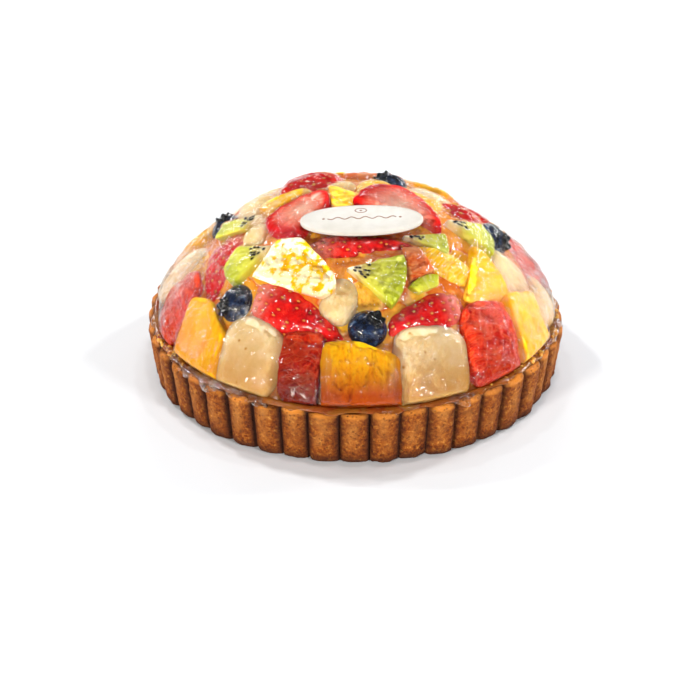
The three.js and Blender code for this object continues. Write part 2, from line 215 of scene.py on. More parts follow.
# name: degrees from the front towards +X, distance from the axis, turn of the long axis from level
# towards uphill, (length, width, thickness), and how far it stands proud
fruitPlaces = {
    "blueberry_1": (-50, 55.2, 120, (14.5, 13.5, 12), 2.5),
    "blueberry_2": (4.5, 55, 60, (14, 14, 12), 2.5),
    "blueberry_3": (97.5, 50.5, 0, (13.5, 13.5, 11), 3),
    "blueberry_4": (151, 27, 60, (13, 13, 11), 1.5),
    "blueberry_5": (-111, 52, 200, (13, 13, 11), 1.5),
    "slice_1": (-68.5, 20, 126, (25, 19, 10), 1),
    "slice_2": (69, 17.5, -105, (30, 23, 10), 1),
    "strawberry_1": (-73, 51.5, -42, (32, 20, 13), 0.5),
    "strawberry_2": (-24, 53.3, -13, (36.5, 17.5, 12), 1.5),
    "strawberry_3": (25.8, 53.8, 186, (33, 14.5, 12), 1),
    "strawberry_4": (4, 26.8, 0, (36, 12.5, 12), 0.5),
    "strawberry_5": (105, 42, 70, (23, 16, 12), 0.5),
    "strawberry_6": (-138, 28.5, 15, (33, 20, 13), 2),
    "strawberry_7": (121, 54, 170, (31, 18, 12), 0.5),
    "strawberry_8": (-163, 52.5, 8, (34, 22, 12), 0.5),
    "kiwi_1": (-88.5, 42, -98, (18, 17, 9), 0.5),
    "kiwi_2": (-60, 43.8, -118, (17, 18, 9), 0.5),
    "kiwi_3": (10.5, 40, -20, (18, 18, 9), 0.5),
    "kiwi_4": (33.2, 48, 95, (11, 11, 9), 0),
    "kiwi_5": (83, 41, -72, (18, 15, 9), 1),
    "kiwi_6": (50, 32.3, -42, (15, 8, 9), 0),
    "kiwi_7": (172, 51, -80, (19, 19, 9), 0.5),
    "orange_1": (54.5, 41, -80, (19, 18, 10), 0.5),
    "orange_2": (150, 14, -60, (22, 15, 9), 0),
    "mango_big": (-36, 39.5, 22, (33, 24, 12), 1),
    "mango_2": (56.5, 48.8, -12, (27, 20, 12), 0.5),
    "mango_3": (-100, 5, 60, (23, 13, 9), 0),
    "mango_4": (-101, 25.3, 135, (17, 12, 10), 1),
    "mango_5": (111, 22.4, -136, (19, 11, 10), -0.5),
    "papaya_1": (33, 40.8, -17, (17, 19, 11), 0.5),
    "pear_small_1": (-13, 47.9, 6, (21, 18, 11), 0.5),
    "pear_small_2": (-112, 39, 60, (19, 15, 10), 1),
    "pear_small_3": (-72.5, 37.5, 47, (12, 13, 10), 0.5),
    "pear_small_4": (-155, 11, 20, (17, 15, 9), 0),
    "pear_right": (85, 53, 55, (28, 24, 13), 0.5),
    "pear_back": (124, 34, 30, (22, 19, 11), -1),
    "papaya_2": (169, 36.5, 0, (21, 18, 11), 0),
    "mango_back": (-163, 38, 12, (22, 19, 11), 0.5),
    "mango_6": (147.5, 51, 5, (25, 23, 12), 0.5),
    "pear_left": (-135, 51, 20, (28, 24, 12), 0.5),
    "mango_front_1": (-54.5, 66, 108, (28, 22, 13), 1.5),
    "pear_front_1": (-36, 65, 97, (30, 26, 14), 2),
    "mango_front_2": (1.8, 66, 90, (27, 24, 14), 2),
    "pear_front_2": (23, 65, 78, (32, 28, 14), 2),
    "grapefruit_front_1": (-77, 65, 105, (31, 28, 13), 1.5),
    "grapefruit_front_2": (-17, 64, 92, (33, 25, 12), 1.5),
    "grapefruit_front_3": (45, 64, 72, (36, 31, 14), 2),
    "mango_front_3": (66, 65, 66, (30, 22, 13), 1.5),
    "pear_side_1": (86, 66.5, 95, (23, 22, 13), 1.5),
    "grapefruit_back_1": (108, 65.5, 85, (28, 25, 13), 1.5),
    "mango_side_1": (131, 66, 98, (26, 23, 13), 1.5),
    "pear_side_2": (153, 65.5, 84, (27, 27, 14), 2),
    "grapefruit_back_2": (176, 65.5, 96, (28, 26, 13), 1.5),
    "mango_side_2": (-161, 66, 86, (26, 24, 13), 2),
    "pear_side_3": (-139, 65.5, 94, (27, 26, 14), 1.5),
    "mango_side_3": (-118, 66, 80, (27, 22, 13), 1.5),
    "pear_side_4": (-98, 65.5, 92, (27, 21, 13), 1.5),
}

# What each kind is shaped like. outline: see outlineOf. power: how square its rim is from the side.
# middle, above, below: its widest level and its reach up and down, in shares of its thickness.
# uneven: how far its surface wanders, in mm, over bumps of the size swell.
shared = {"middle": 0, "above": 0.5, "below": 0.5, "pole": 0, "grid": (60, 84)}
kinds = {
    "pear": {**shared, "outline": ("block", 2.7), "power": 2.4, "uneven": 0.30, "swell": 7, "blend": 5},
    "mango": {**shared, "outline": ("block", 5.0), "power": 5.0, "uneven": 0.36, "swell": 4.5, "blend": 17,
              "grid": (64, 96)},
    "papaya": {**shared, "outline": ("block", 3.4), "power": 3.6, "uneven": 0.45, "swell": 4, "blend": 14},
    "grapefruit": {**shared, "outline": ("segment",), "power": 2.7, "uneven": 0.50, "swell": 3.4,
                   "blend": 15, "grid": (72, 96)},
    "orange": {**shared, "outline": ("segment",), "power": 2.7, "uneven": 0.35, "swell": 2.6, "blend": 14},
    "strawberry": {**shared, "outline": ("heart",), "power": 2.3, "uneven": 0.30, "swell": 6, "blend": 20,
                   "middle": -0.3, "above": 0.8, "below": 0.2, "grid": (120, 132)},
    "slice": {**shared, "outline": ("heart",), "power": 9.0, "uneven": 0.40, "swell": 4, "blend": 20,
              "pole": 2, "grid": (80, 110)},
    "kiwi": {**shared, "outline": ("wedge",), "power": 12.0, "uneven": 0.22, "swell": 3, "blend": 24,
             "pole": 2, "grid": (72, 110)},
    "blueberry": {**shared, "outline": ("block", 2.0), "power": 2.0, "uneven": 0.10, "swell": 4,
                  "blend": 20, "pole": 2, "grid": (72, 96)},
}
packing = 1.12  # pieces are drawn this much larger and then cut back to their neighbours
touching = 0.7  # each piece is this much fuller than its cut, so that neighbours press on each other


def pieceAxes(place):
    # Rows are the piece's own x, y and z: z is the dome's normal, x is level and then turned by spin
    azimuth, reach, spin, size, lift = place
    around, turn = math.radians(azimuth), math.radians(spin)
    out = np.array([math.sin(around), -math.cos(around), 0])
    level = np.array([math.cos(around), math.sin(around), 0])
    normal = np.array([0, 0, 1]) - domeSlope(reach) * out
    normal /= np.linalg.norm(normal)
    uphill = np.cross(normal, level)
    axes = np.array([level * math.cos(turn) + uphill * math.sin(turn),
                     uphill * math.cos(turn) - level * math.sin(turn), normal])
    return axes, out * reach + [0, 0, domeZ(reach)] + normal * (lift - size[2] / 2)


def outlineOf(kind, a, b):
    # Radius of the outline at each whole degree. block: |x/a|^n + |y/b|^n = 1. heart: an ellipse that
    # narrows towards +x. wedge: a slice of a disc with its point at -x. segment: nearly straight on one
    # side and bowed on the other.
    turn = np.linspace(0, 2 * np.pi, 1440, endpoint=False)
    across, along = np.cos(turn), np.sin(turn)
    if kind[0] == "block":
        x = a * np.sign(across) * np.abs(across) ** (2 / kind[1])
        y = b * np.sign(along) * np.abs(along) ** (2 / kind[1])
    elif kind[0] == "heart":
        x, y = a * across, b * along * (1 - 0.45 * across) / 1.1
    elif kind[0] == "wedge":
        half = math.atan2(b, 1.7 * a)
        s = np.linspace(0, 1, 360, endpoint=False)
        edge = 2 * a * s
        arc = half * (2 * s - 1)
        x = np.concatenate([edge * math.cos(half), 2 * a * np.cos(arc), (2 * a - edge) * math.cos(half)]) - a
        y = np.concatenate([-edge * math.sin(half), 2 * a * np.sin(arc), (2 * a - edge) * math.sin(half)])
    else:
        s = np.linspace(0, 1, 480, endpoint=False)
        low = 2 * s * (1 - s)
        cubic = [(1 - s) ** 3, 3 * s * (1 - s) ** 2, 3 * s * s * (1 - s), s ** 3]
        x = np.concatenate([a * (2 * s - 1), a * (cubic[0] + 0.8 * cubic[1] - 0.8 * cubic[2] - cubic[3])])
        y = np.concatenate([-b * (0.5 * (1 - low) + 1.35 * low),
                            b * (1.25 * (cubic[1] + cubic[2]) - 0.5 * (cubic[0] + cubic[3]))])
    angle, radius = np.arctan2(y, x), np.hypot(x, y)
    order = np.argsort(angle)
    return np.interp(np.radians(np.arange(-180, 180)), angle[order], radius[order], period=2 * np.pi)


def shareOf(points, shape, size, outline):
    # 0 at the piece's middle and 1 on its uncut surface:
    # ((distance / outline)^power + |height / reach|^power)^(1 / power)
    turn = np.arctan2(points[:, 1], points[:, 0])
    edge = np.interp(np.degrees(turn), np.arange(-180, 180), outline, period=360)
    height = points[:, 2] / size[2] - shape["middle"]
    height = np.abs(height) / np.where(height > 0, shape["above"], shape["below"])
    level = np.hypot(points[:, 0], points[:, 1]) / edge
    return (level ** shape["power"] + height ** shape["power"]) ** (1 / shape["power"]), level


# frost: share of pale clouds, which on mango are painted glare. tint: brightness, in part the piece's own
# tone and in part painted light and shade. steeped: how far it browns from below, by amber glaze and by
# painted shade.
# fuller: millimetres more than touching that a piece presses into its neighbours.
plainLook = {"frost": 1.0, "tint": 1.0, "steeped": 0.6, "fuller": 0.0}
kindLooks = {"mango": {"frost": 0.15}, "pear": {"tint": 1.08}}
# Per piece: tint is in part painted light and shade, steeped in part painted shade at the base, and frost on
# mango painted glare
pieceLooks = {
    "slice_1": {"tint": 1.1},
    "slice_2": {"tint": 1.08},
    "orange_1": {"tint": 1.1},
    "mango_2": {"frost": 0.1, "steeped": 0.1, "tint": 1.15},
    "mango_3": {"tint": 1.15},
    "mango_4": {"frost": 0.6},
    "mango_5": {"tint": 1.15},
    "mango_big": {"frost": 2.6, "steeped": 0.2, "tint": 1.06},
    "mango_front_1": {"frost": 0.0, "steeped": 0.4, "tint": 0.92},
    "mango_front_2": {"frost": 0.0, "steeped": 1.25, "tint": 0.82, "fuller": 1.6},
    "mango_front_3": {"frost": 0.2, "steeped": 0.3, "tint": 1.2},
    "pear_small_1": {"tint": 0.98, "fuller": 3.4},
    "pear_front_1": {"steeped": 0.8, "tint": 0.88, "fuller": 3.6},
    "pear_front_2": {"steeped": 1.0, "tint": 0.92, "fuller": 3.6},
    "grapefruit_front_1": {"steeped": 0.5},
    "grapefruit_front_2": {"steeped": 1.1, "tint": 0.6, "fuller": 1.2},
    "grapefruit_front_3": {"steeped": 0.5, "tint": 1.05, "fuller": 1.2},
}

# The faces that neighbours cut into a piece lie these ways in its own axes
cutTurns = np.radians(np.arange(16) * 22.5)
cutWays = np.array([[0, 0, -1.0]] + [[math.cos(turn), math.sin(turn), tilt]
                                     for turn in cutTurns for tilt in (-0.6, 0, 0.6)])
cutWays /= np.linalg.norm(cutWays, axis=1)[:, None]


def nodePlanes(name, axes):
    # Reads the cut faces from the frame's solid: triangles that face one of the ways above, with the
    # mean distance of their planes weighted by area. Also gives the solid's middle, by volume.
    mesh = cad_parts[name].data
    points = np.empty(len(mesh.vertices) * 3)
    mesh.vertices.foreach_get("co", points)
    corners = np.empty(len(mesh.loops), np.int32)
    mesh.loops.foreach_get("vertex_index", corners)
    a, b, c = points.reshape(-1, 3)[corners].reshape(-1, 3, 3).transpose(1, 0, 2) * 1000
    crossed = np.cross(b - a, c - a)
    area = np.linalg.norm(crossed, axis=1) / 2 + 1e-9
    volume = np.einsum("ij,ij->i", a, np.cross(b, c)) / 6
    middle = np.sum((a + b + c) / 4 * volume[:, None], axis=0) / volume.sum()
    facing = -cutWays @ axes
    alike = ((crossed / (2 * area[:, None])) @ facing.T > math.cos(math.radians(1))) * area[:, None]
    total = alike.sum(axis=0)
    away = (alike * (a @ facing.T)).sum(axis=0) / np.maximum(total, 1e-9)
    kept = total > 1.0
    facing = np.concatenate([facing[kept], [[0, 0, -1]]])
    return facing, np.append(away[kept], -seat["base"]), middle


def polarGrid(rings, columns, pole, stretch):
    # Unit directions on rings round the piece's x axis (pole 0) or z axis (pole 2), spread evenly over
    # an ellipsoid with the piece's proportions
    polar = np.pi * np.arange(1, rings + 1) / (rings + 1)
    turn = 2 * np.pi * np.arange(columns) / columns
    along = np.repeat(np.cos(polar), columns)
    one = np.outer(np.sin(polar), np.cos(turn)).ravel()
    two = np.outer(np.sin(polar), np.sin(turn)).ravel()
    ways = np.stack([along, one, two] if pole == 0 else [one, two, along], -1)
    end = np.eye(3)[pole]
    ways = np.concatenate([[end], ways, [-end]]) * stretch
    return ways / np.linalg.norm(ways, axis=1)[:, None]


class FruitShape:
    # The rounded surface of one piece of fruit. From a point inside, the uncut surface is found along
    # each direction by halving, and then softly cut back by the neighbours' planes:
    # 1 / t = (1 / uncut^k + sum((way . plane / distance)^k))^(1/k)
    def __init__(self, name):
        self.kind = name.split("_")[0]
        self.shape = kinds[self.kind]
        self.place = fruitPlaces[name]
        self.size = np.array(self.place[3], float)
        grown = 1 if self.kind == "blueberry" else packing * 1.03
        self.outline = outlineOf(self.shape["outline"], self.size[0] * grown / 2, self.size[1] * grown / 2)
        self.axes, self.origin = pieceAxes(self.place)
        facing, away, middle = nodePlanes(name, self.axes)
        self.start = self.axes @ (middle - self.origin)
        self.facing = facing @ self.axes.T
        self.look = {**plainLook, **kindLooks.get(self.kind, {}), **pieceLooks.get(name, {})}
        self.room = np.maximum(away - facing @ middle, 0.4) + touching + self.look["fuller"]
        self.seed = sum(map(ord, name))

    def uncutAlong(self, ways):
        low, high = np.zeros(len(ways)), np.full(len(ways), 3 * self.size.max())
        for _ in range(26):
            half = (low + high) / 2
            inside = shareOf(self.start + ways * half[:, None], self.shape, self.size, self.outline)[0] < 1
            low, high = np.where(inside, half, low), np.where(inside, high, half)
        return low

    def cutBack(self, ways, uncut):
        k = self.shape["blend"]
        cut = np.maximum(ways @ self.facing.T, 0) / self.room
        return (uncut ** -k + (cut ** k).sum(axis=1)) ** (-1 / k)

    def uncut(self, ways):
        # 1 where no neighbour's plane has taken anything off
        whole = self.uncutAlong(ways)
        return self.cutBack(ways, whole) / whole

    def points(self, ways):
        # Own coordinates of the surface along each direction, with the slow unevenness of soft fruit
        reach = self.cutBack(ways, self.uncutAlong(ways))
        local = self.start + ways * reach[:, None]
        bump = roughNoise(local, self.shape["swell"], self.seed) * self.shape["uneven"]
        return local + ways * bump[:, None]

    def toWorld(self, local):
        # Into the tart's own axes, lifted to the bed and drawn in to what the case can hold
        world = self.origin + local @ self.axes
        reach = np.hypot(world[:, 0], world[:, 1])
        nearer = np.minimum(reach, seat["reach"])
        base = domeZ(nearer) - seat["bedDepth"] * np.sqrt(1 + domeSlope(nearer) ** 2)
        world[:, 2] = np.maximum(world[:, 2], np.maximum(base, seat["floor"]))
        widening = (seat["wide"] - seat["narrow"]) * smoothStep(seat["floor"], seat["top"], world[:, 2])
        world[:, :2] *= np.minimum(1, (seat["narrow"] + widening) / np.maximum(reach, 1))[:, None]
        return world


def smallSeeds(spots, normals, along, size, rings=5, columns=7):
    # Little ellipsoids set on a surface: size is length, width and height. One narrows to its tip.
    ways = polarGrid(rings, columns, 0, np.ones(3))
    narrow = 1 - 0.35 * ways[:, 0]
    shell = ways * size / 2
    shell[:, 1:] *= narrow[:, None]
    across = np.cross(normals, along)
    across /= np.linalg.norm(across, axis=1)[:, None]
    forward = np.cross(across, normals)
    basis = np.stack([forward, across, normals], 1)
    return [(spot + shell @ turned, ringFaces(rings, columns)) for spot, turned in zip(spots, basis)]


def surfaceNormals(shape, ways, step=0.02):
    # Cross product of two short steps along the surface, pointed outwards
    helper = np.where(np.abs(ways[:, :1]) < 0.9, [[1.0, 0, 0]], [[0, 1.0, 0]])
    one = np.cross(ways, helper)
    one /= np.linalg.norm(one, axis=1)[:, None]
    two = np.cross(ways, one)
    here = shape.points(ways)
    moved = []
    for side in (one, two):
        turned = ways + side * step
        moved.append(shape.points(turned / np.linalg.norm(turned, axis=1)[:, None]) - here)
    normal = np.cross(moved[0], moved[1])
    normal *= np.sign(np.einsum("ij,ij->i", normal, ways))[:, None]
    return here, normal / np.linalg.norm(normal, axis=1)[:, None]


# What all moist fruit shares. soak, depth and radius: how much light enters, how far in metres, and its
# shares of red, green and blue. soaked: how brown it turns at syrupAndShadeFrom, by amber glaze and by
# painted shade, fading up to syrupAndShadeTo, both heights in metres. syrup: the brown it turns to. rimmed:
# how much its edge turns to the rim's colour.
moist = {"rough": 0.3, "coat": 0.04, "shine": 0.05, "soak": 0.35, "depth": 0.003, "radius": (1.0, 0.55, 0.25),
         "slant": 0.0, "twist": 0.3, "specks": 0.0, "speckGap": 5.0, "syrupAndShadeFrom": 0.0205, "syrupAndShadeTo": 0.027,
         "syrupAndShadeAmount": 0.75, "syrupAndShade": "#8A3B0E", "rim": "#C8641A", "rimmed": 0.3}


def finishFlesh(material, add, colour, bump, look):
    # The end that all moist fruit shares: light soaks in and comes out again under a faint wet skin, and it
    # browns from the rim upwards by the piece's own share, steeped, with amber glaze and painted shade
    place = add("TexCoord")
    height = add("SeparateXYZ", {0: place.outputs["Object"]})
    # Browner towards the base: amber glaze, and painted shade where the pieces sink towards the rim
    low = add("MapRange", {"Value": height.outputs["Z"], "From Min": look["syrupAndShadeFrom"],
                           "From Max": look["syrupAndShadeTo"], "To Min": look["syrupAndShadeAmount"], "To Max": 0.0},
              interpolation_type="SMOOTHSTEP")
    steeped = add("Attribute", attribute_name="steeped")
    browned = add("Math", {0: low, 1: steeped.outputs["Fac"]}, operation="MULTIPLY")
    wet = add("Mix", {"Factor": browned, 6: colour, 7: look["syrupAndShade"]})
    # Brightness per piece: in part its own tone and in part painted light and shade
    shade = add("Attribute", attribute_name="tint")
    toned = add("HueSaturation", {"Value": shade.outputs["Fac"], "Color": wet})
    skin = add("BsdfPrincipled", {"Base Color": toned, "Roughness": look["rough"], "IOR": 1.38,
                                  "Specular IOR Level": look["shine"], "Subsurface Weight": look["soak"],
                                  "Normal": bump,
                                  "Subsurface Radius": look["radius"], "Subsurface Scale": look["depth"],
                                  "Coat Weight": look["coat"], "Coat Roughness": 0.06, "Coat IOR": 1.4})
    add("OutputMaterial", {"Surface": skin})
    return material


def fleshMaterial(name, look):
    # Cut fruit: fibres run along the piece with paler clouds over them, which on mango are painted glare, and
    # a fine grain breaks the shine. Sizes are in millimetres of the piece's own "place" coordinates.
    material, add = newMaterial(name)
    place = add("Attribute", attribute_name="place").outputs["Vector"]
    along = add("Mapping", {"Vector": place, "Rotation": (0, 0, look["slant"]),
                            "Scale": tuple(1 / size for size in look["fibre"])})
    fibre = add("TexNoise", {"Vector": along, "Scale": 1.0, "Detail": 4.0, "Roughness": 0.62,
                             "Distortion": look["twist"]})
    body = add("ValToRGB", {0: fibre}, stops=[(0.32, look["deep"]), (0.68, look["light"]),
                                              (0.5, look["main"])])
    cloud = add("TexNoise", {"Vector": place, "Scale": 1 / look["cloud"], "Detail": 5.0, "Roughness": 0.6})
    where = add("MapRange", {"Value": cloud, "From Min": 0.42, "From Max": 0.58, "To Max": look["clouded"]})
    # The pale clouds: on mango, painted glare
    frost = add("Attribute", attribute_name="frost")
    marbled = add("Math", {0: where, 1: frost.outputs["Fac"]}, operation="MULTIPLY")
    mixed = add("Mix", {"Factor": marbled, 6: body, 7: look["pale"]})
    specks = add("TexVoronoi", {"Vector": place, "Scale": 1 / look["speckGap"]})
    dots = add("MapRange", {"Value": specks, "From Min": 0.05, "From Max": 0.11, "To Min": look["specks"],
                            "To Max": 0.0})
    level = add("Attribute", attribute_name="level")
    rim = add("MapRange", {"Value": level.outputs["Fac"], "From Min": 0.55, "From Max": 1.05,
                           "To Max": look["rimmed"]})
    edged = add("Mix", {"Factor": rim, 6: mixed, 7: look["rim"]})
    marked = add("Mix", {"Factor": dots, 6: edged, 7: look["rim"]})
    grain = add("TexNoise", {"Vector": place, "Scale": 1 / look["grain"], "Detail": 3.0})
    relief = add("Math", {0: fibre, 1: grain}, operation="ADD")
    bump = add("Bump", {"Height": relief, "Strength": look["bump"], "Distance": 0.0006})
    return finishFlesh(material, add, marked, bump, look)


# Mango, knife cut: long fibres and pale clouds of painted glare in a bright yellow that turns orange at the
# base, by amber glaze and painted shade.
mangoLook = {**moist, "deep": "#F9B208", "main": "#FFC80E", "light": "#FFD820", "pale": "#FFF6D2",
             "clouded": 0.85, "cloud": 4.2, "fibre": (11.0, 1.5, 2.0), "slant": 0.5, "twist": 0.6,
             "grain": 1.2, "bump": 0.16, "syrupAndShadeTo": 0.044, "syrupAndShadeAmount": 0.95, "syrupAndShade": "#B8500E",
             "radius": (1.0, 0.7, 0.1), "coat": 0.05}
# Pear, poached and peeled: even, translucent and faintly gritty, with a few dark specks.
pearLook = {**moist, "deep": "#E2C48C", "main": "#EDD4A2", "light": "#F8E8C6", "pale": "#F4DCB8",
            "clouded": 0.35, "cloud": 14.0, "fibre": (9.0, 9.0, 9.0), "grain": 0.7, "bump": 0.16,
            "soak": 0.85, "depth": 0.007, "specks": 0.8, "speckGap": 6.5, "syrupAndShadeTo": 0.043, "syrupAndShadeAmount": 0.8,
            "syrupAndShade": "#C48A34", "rim": "#B88438", "rimmed": 0.35, "radius": (1.0, 0.75, 0.45)}
# Papaya and apricot chunks, knife cut: soft orange with darker wet hollows.
papayaLook = {**moist, "deep": "#C9481A", "main": "#E2702F", "light": "#F0954C", "pale": "#F6BE86",
              "clouded": 0.5, "cloud": 5.0, "fibre": (4.0, 2.0, 2.5), "twist": 0.9, "grain": 0.8, "bump": 0.3}
mangoFlesh = fleshMaterial("mango_flesh_knife_cut", mangoLook)
pearFlesh = fleshMaterial("pear_flesh_poached", pearLook)
papayaFlesh = fleshMaterial("papaya_flesh_knife_cut", papayaLook)


def citrusMaterial(name, look):
    # A peeled citrus segment: long juice sacs side by side, each a stretched cell with a pale film at
    # its edge, darker in its middle where the light goes in. The sacs wander by bend over bendSize.
    material, add = newMaterial(name)
    place = add("Attribute", attribute_name="place").outputs["Vector"]
    bent = add("TexNoise", {"Vector": place, "Scale": 1 / look["bendSize"], "Detail": 1.0})
    shifted = add("VectorMath", {0: bent.outputs["Color"], 1: (look["bend"],) * 3, 2: place},
                  operation="MULTIPLY_ADD")
    along = add("Mapping", {"Vector": shifted, "Rotation": (0, 0, look["slant"]),
                            "Scale": tuple(1 / size for size in look["sac"])})
    sacs = add("TexVoronoi", {"Vector": along, "Scale": 1.0, "Randomness": 0.9}, feature="DISTANCE_TO_EDGE")
    cells = add("TexVoronoi", {"Vector": along, "Scale": 1.0, "Randomness": 0.9})
    mottle = add("TexNoise", {"Vector": place, "Scale": 1 / look["mottle"], "Detail": 6.0, "Roughness": 0.65,
                              "Distortion": 1.2})
    body = add("ValToRGB", {0: mottle}, stops=[(0.3, look["deep"]), (0.7, look["light"]),
                                               (0.5, look["main"])])
    each = add("SeparateColor", {0: cells.outputs["Color"]})
    varied = add("MapRange", {"Value": each, "To Min": 0.0, "To Max": 0.35})
    toned = add("Mix", {"Factor": varied, 6: body, 7: look["light"]})
    film = add("MapRange", {"Value": sacs, "From Min": 0.01, "From Max": 0.09, "To Min": look["film"],
                            "To Max": 0.0})
    lined = add("Mix", {"Factor": film, 6: toned, 7: look["pale"]})
    height = add("MapRange", {"Value": sacs, "From Max": 0.3})
    relief = add("Math", {0: height, 1: mottle}, operation="ADD")
    bump = add("Bump", {"Height": relief, "Strength": look["bump"], "Distance": 0.0008})
    return finishFlesh(material, add, lined, bump, look)


# Ruby grapefruit, peeled: deep red sacs with fine pale arcs, nearly black red at the base, by dark glaze
# and painted shade.
grapefruitLook = {**moist, "deep": "#8A0804", "main": "#D8260E", "light": "#F0602C", "pale": "#F58A5C",
                  "film": 0.22, "coat": 0.15, "sac": (2.2, 9.0, 3.0), "slant": 0.9, "bend": 14.0,
                  "bendSize": 9.09, "mottle": 2.857, "bump": 0.3, "soak": 0.4, "syrupAndShadeTo": 0.036,
                  "syrupAndShadeAmount": 0.7, "syrupAndShade": "#5A0C06", "radius": (1.0, 0.3, 0.12)}
# Orange segment, peeled: bright wet sacs with thin light walls.
orangeLook = {**moist, "deep": "#F8AC0C", "main": "#FFC81E", "light": "#FFE060", "pale": "#FFF2B4",
              "film": 0.5, "sac": (1.6, 7.0, 2.2), "bend": 3.0, "bendSize": 9.09, "mottle": 2.857,
              "bump": 0.4, "radius": (1.0, 0.6, 0.12)}
grapefruitFlesh = citrusMaterial("grapefruit_flesh_peeled", grapefruitLook)
orangeFlesh = citrusMaterial("orange_flesh_peeled", orangeLook)

# pit: the darker red of painted shade in each seed's pit
strawberryLook = {**moist, "dark": "#BC0608", "main": "#E0120E", "light": "#F43C28", "stalk": "#F7A690",
                  "pit": "#8E0710", "mottle": 3.571, "grain": 0.833, "rough": 0.26, "coat": 0.7,
                  "soak": 0.25, "radius": (1.0, 0.25, 0.15), "syrupAndShadeAmount": 0.2}


def strawberrySkinMaterial(look):
    # Whole strawberry, glazed: saturated red skin, paler at the stalk end, and darker in each seed's pit,
    # which is painted shade.
    material, add = newMaterial("strawberry_skin_glazed")
    place = add("Attribute", attribute_name="place").outputs["Vector"]
    mottle = add("TexNoise", {"Vector": place, "Scale": 1 / look["mottle"], "Detail": 5.0, "Roughness": 0.6})
    body = add("ValToRGB", {0: mottle}, stops=[(0.3, look["dark"]), (0.7, look["light"]),
                                               (0.5, look["main"])])
    pale = add("Attribute", attribute_name="pale")
    stalk = add("Mix", {"Factor": pale.outputs["Fac"], 6: body, 7: look["stalk"]})
    pit = add("Attribute", attribute_name="pit")
    # Darker red in each pit: painted shade
    pits = add("MapRange", {"Value": pit.outputs["Fac"], "To Max": 0.55})
    dark = add("Mix", {"Factor": pits, 6: stalk, 7: look["pit"]})
    grain = add("TexNoise", {"Vector": place, "Scale": 1 / look["grain"], "Detail": 3.0})
    bump = add("Bump", {"Height": grain, "Strength": 0.25, "Distance": 0.0005})
    return finishFlesh(material, add, dark, bump, look)


# ramp: colours from the middle of the face to its rim
sliceLook = {**moist, "ramp": [(0.1, "#F9C4AE"), (0.97, "#C8080E"), (0.5, "#F4927A"), (0.72, "#E8604A"),
                               (0.83, "#D8281E")],
             "ray": "#FBE3D4", "sway": 0.07, "grain": 1.111, "syrupAndShadeAmount": 0.2, "radius": (1.0, 0.4, 0.25)}


def strawberryFaceMaterial(look):
    # Strawberry cut across: pale rays run out from the middle to a thin bright red rim.
    material, add = newMaterial("strawberry_flesh_sliced")
    rays = add("Attribute", attribute_name="radial").outputs["Vector"]
    level = add("Attribute", attribute_name="level").outputs["Fac"]
    place = add("Attribute", attribute_name="place").outputs["Vector"]
    streak = add("TexNoise", {"Vector": rays, "Scale": 1.0, "Detail": 3.0, "Distortion": 0.4})
    moved = add("MapRange", {"Value": streak, "To Min": -look["sway"], "To Max": look["sway"]})
    at = add("Math", {0: level, 1: moved}, operation="ADD")
    body = add("ValToRGB", {0: at}, stops=look["ramp"])
    line = add("MapRange", {"Value": streak, "From Min": 0.52, "From Max": 0.7, "To Max": 0.5})
    inner = add("MapRange", {"Value": level, "From Min": 0.65, "From Max": 0.85, "To Min": 1.0,
                             "To Max": 0.0})
    both = add("Math", {0: line, 1: inner}, operation="MULTIPLY")
    rayed = add("Mix", {"Factor": both, 6: body, 7: look["ray"]})
    grain = add("TexNoise", {"Vector": place, "Scale": 1 / look["grain"], "Detail": 4.0})
    bump = add("Bump", {"Height": grain, "Strength": 0.5, "Distance": 0.0008})
    return finishFlesh(material, add, rayed, bump, look)


# ramp: colours from the core to the peel
kiwiLook = {**moist, "ramp": [(0.0, "#F6EED0"), (1.0, "#B2BC2A"), (0.16, "#F0E6BC"), (0.27, "#D8C67A"),
                              (0.42, "#DCD858"), (0.7, "#E2E456")],
            "spoke": "#E8E896", "grain": 0.909, "soak": 0.5, "syrupAndShadeAmount": 0.3, "radius": (1.0, 0.95, 0.4)}


def kiwiMaterial(look):
    # Kiwi slice: a pale woody core, a translucent ring where the seeds sit, and light spokes through
    # green flesh that darkens towards the peel.
    material, add = newMaterial("kiwi_flesh_sliced")
    rays = add("Attribute", attribute_name="radial").outputs["Vector"]
    far = add("Attribute", attribute_name="fromCore").outputs["Fac"]
    place = add("Attribute", attribute_name="place").outputs["Vector"]
    streak = add("TexNoise", {"Vector": rays, "Scale": 1.0, "Detail": 4.0, "Distortion": 0.3})
    body = add("ValToRGB", {0: far}, stops=look["ramp"])
    line = add("MapRange", {"Value": streak, "From Min": 0.5, "From Max": 0.68, "To Max": 0.55})
    rayed = add("Mix", {"Factor": line, 6: body, 7: look["spoke"]})
    grain = add("TexNoise", {"Vector": place, "Scale": 1 / look["grain"], "Detail": 3.0})
    relief = add("Math", {0: grain, 1: streak}, operation="ADD")
    bump = add("Bump", {"Height": relief, "Strength": 0.35, "Distance": 0.0006})
    return finishFlesh(material, add, rayed, bump, look)


# wax: roughness of the bare and of the frosted skin
blueberryLook = {"ramp": [(0.40, "#02060F"), (0.74, "#5078AA"), (0.56, "#0E2248")], "crown": "#0B0B10",
                 "patch": 3.125, "wax": (0.2, 0.5)}


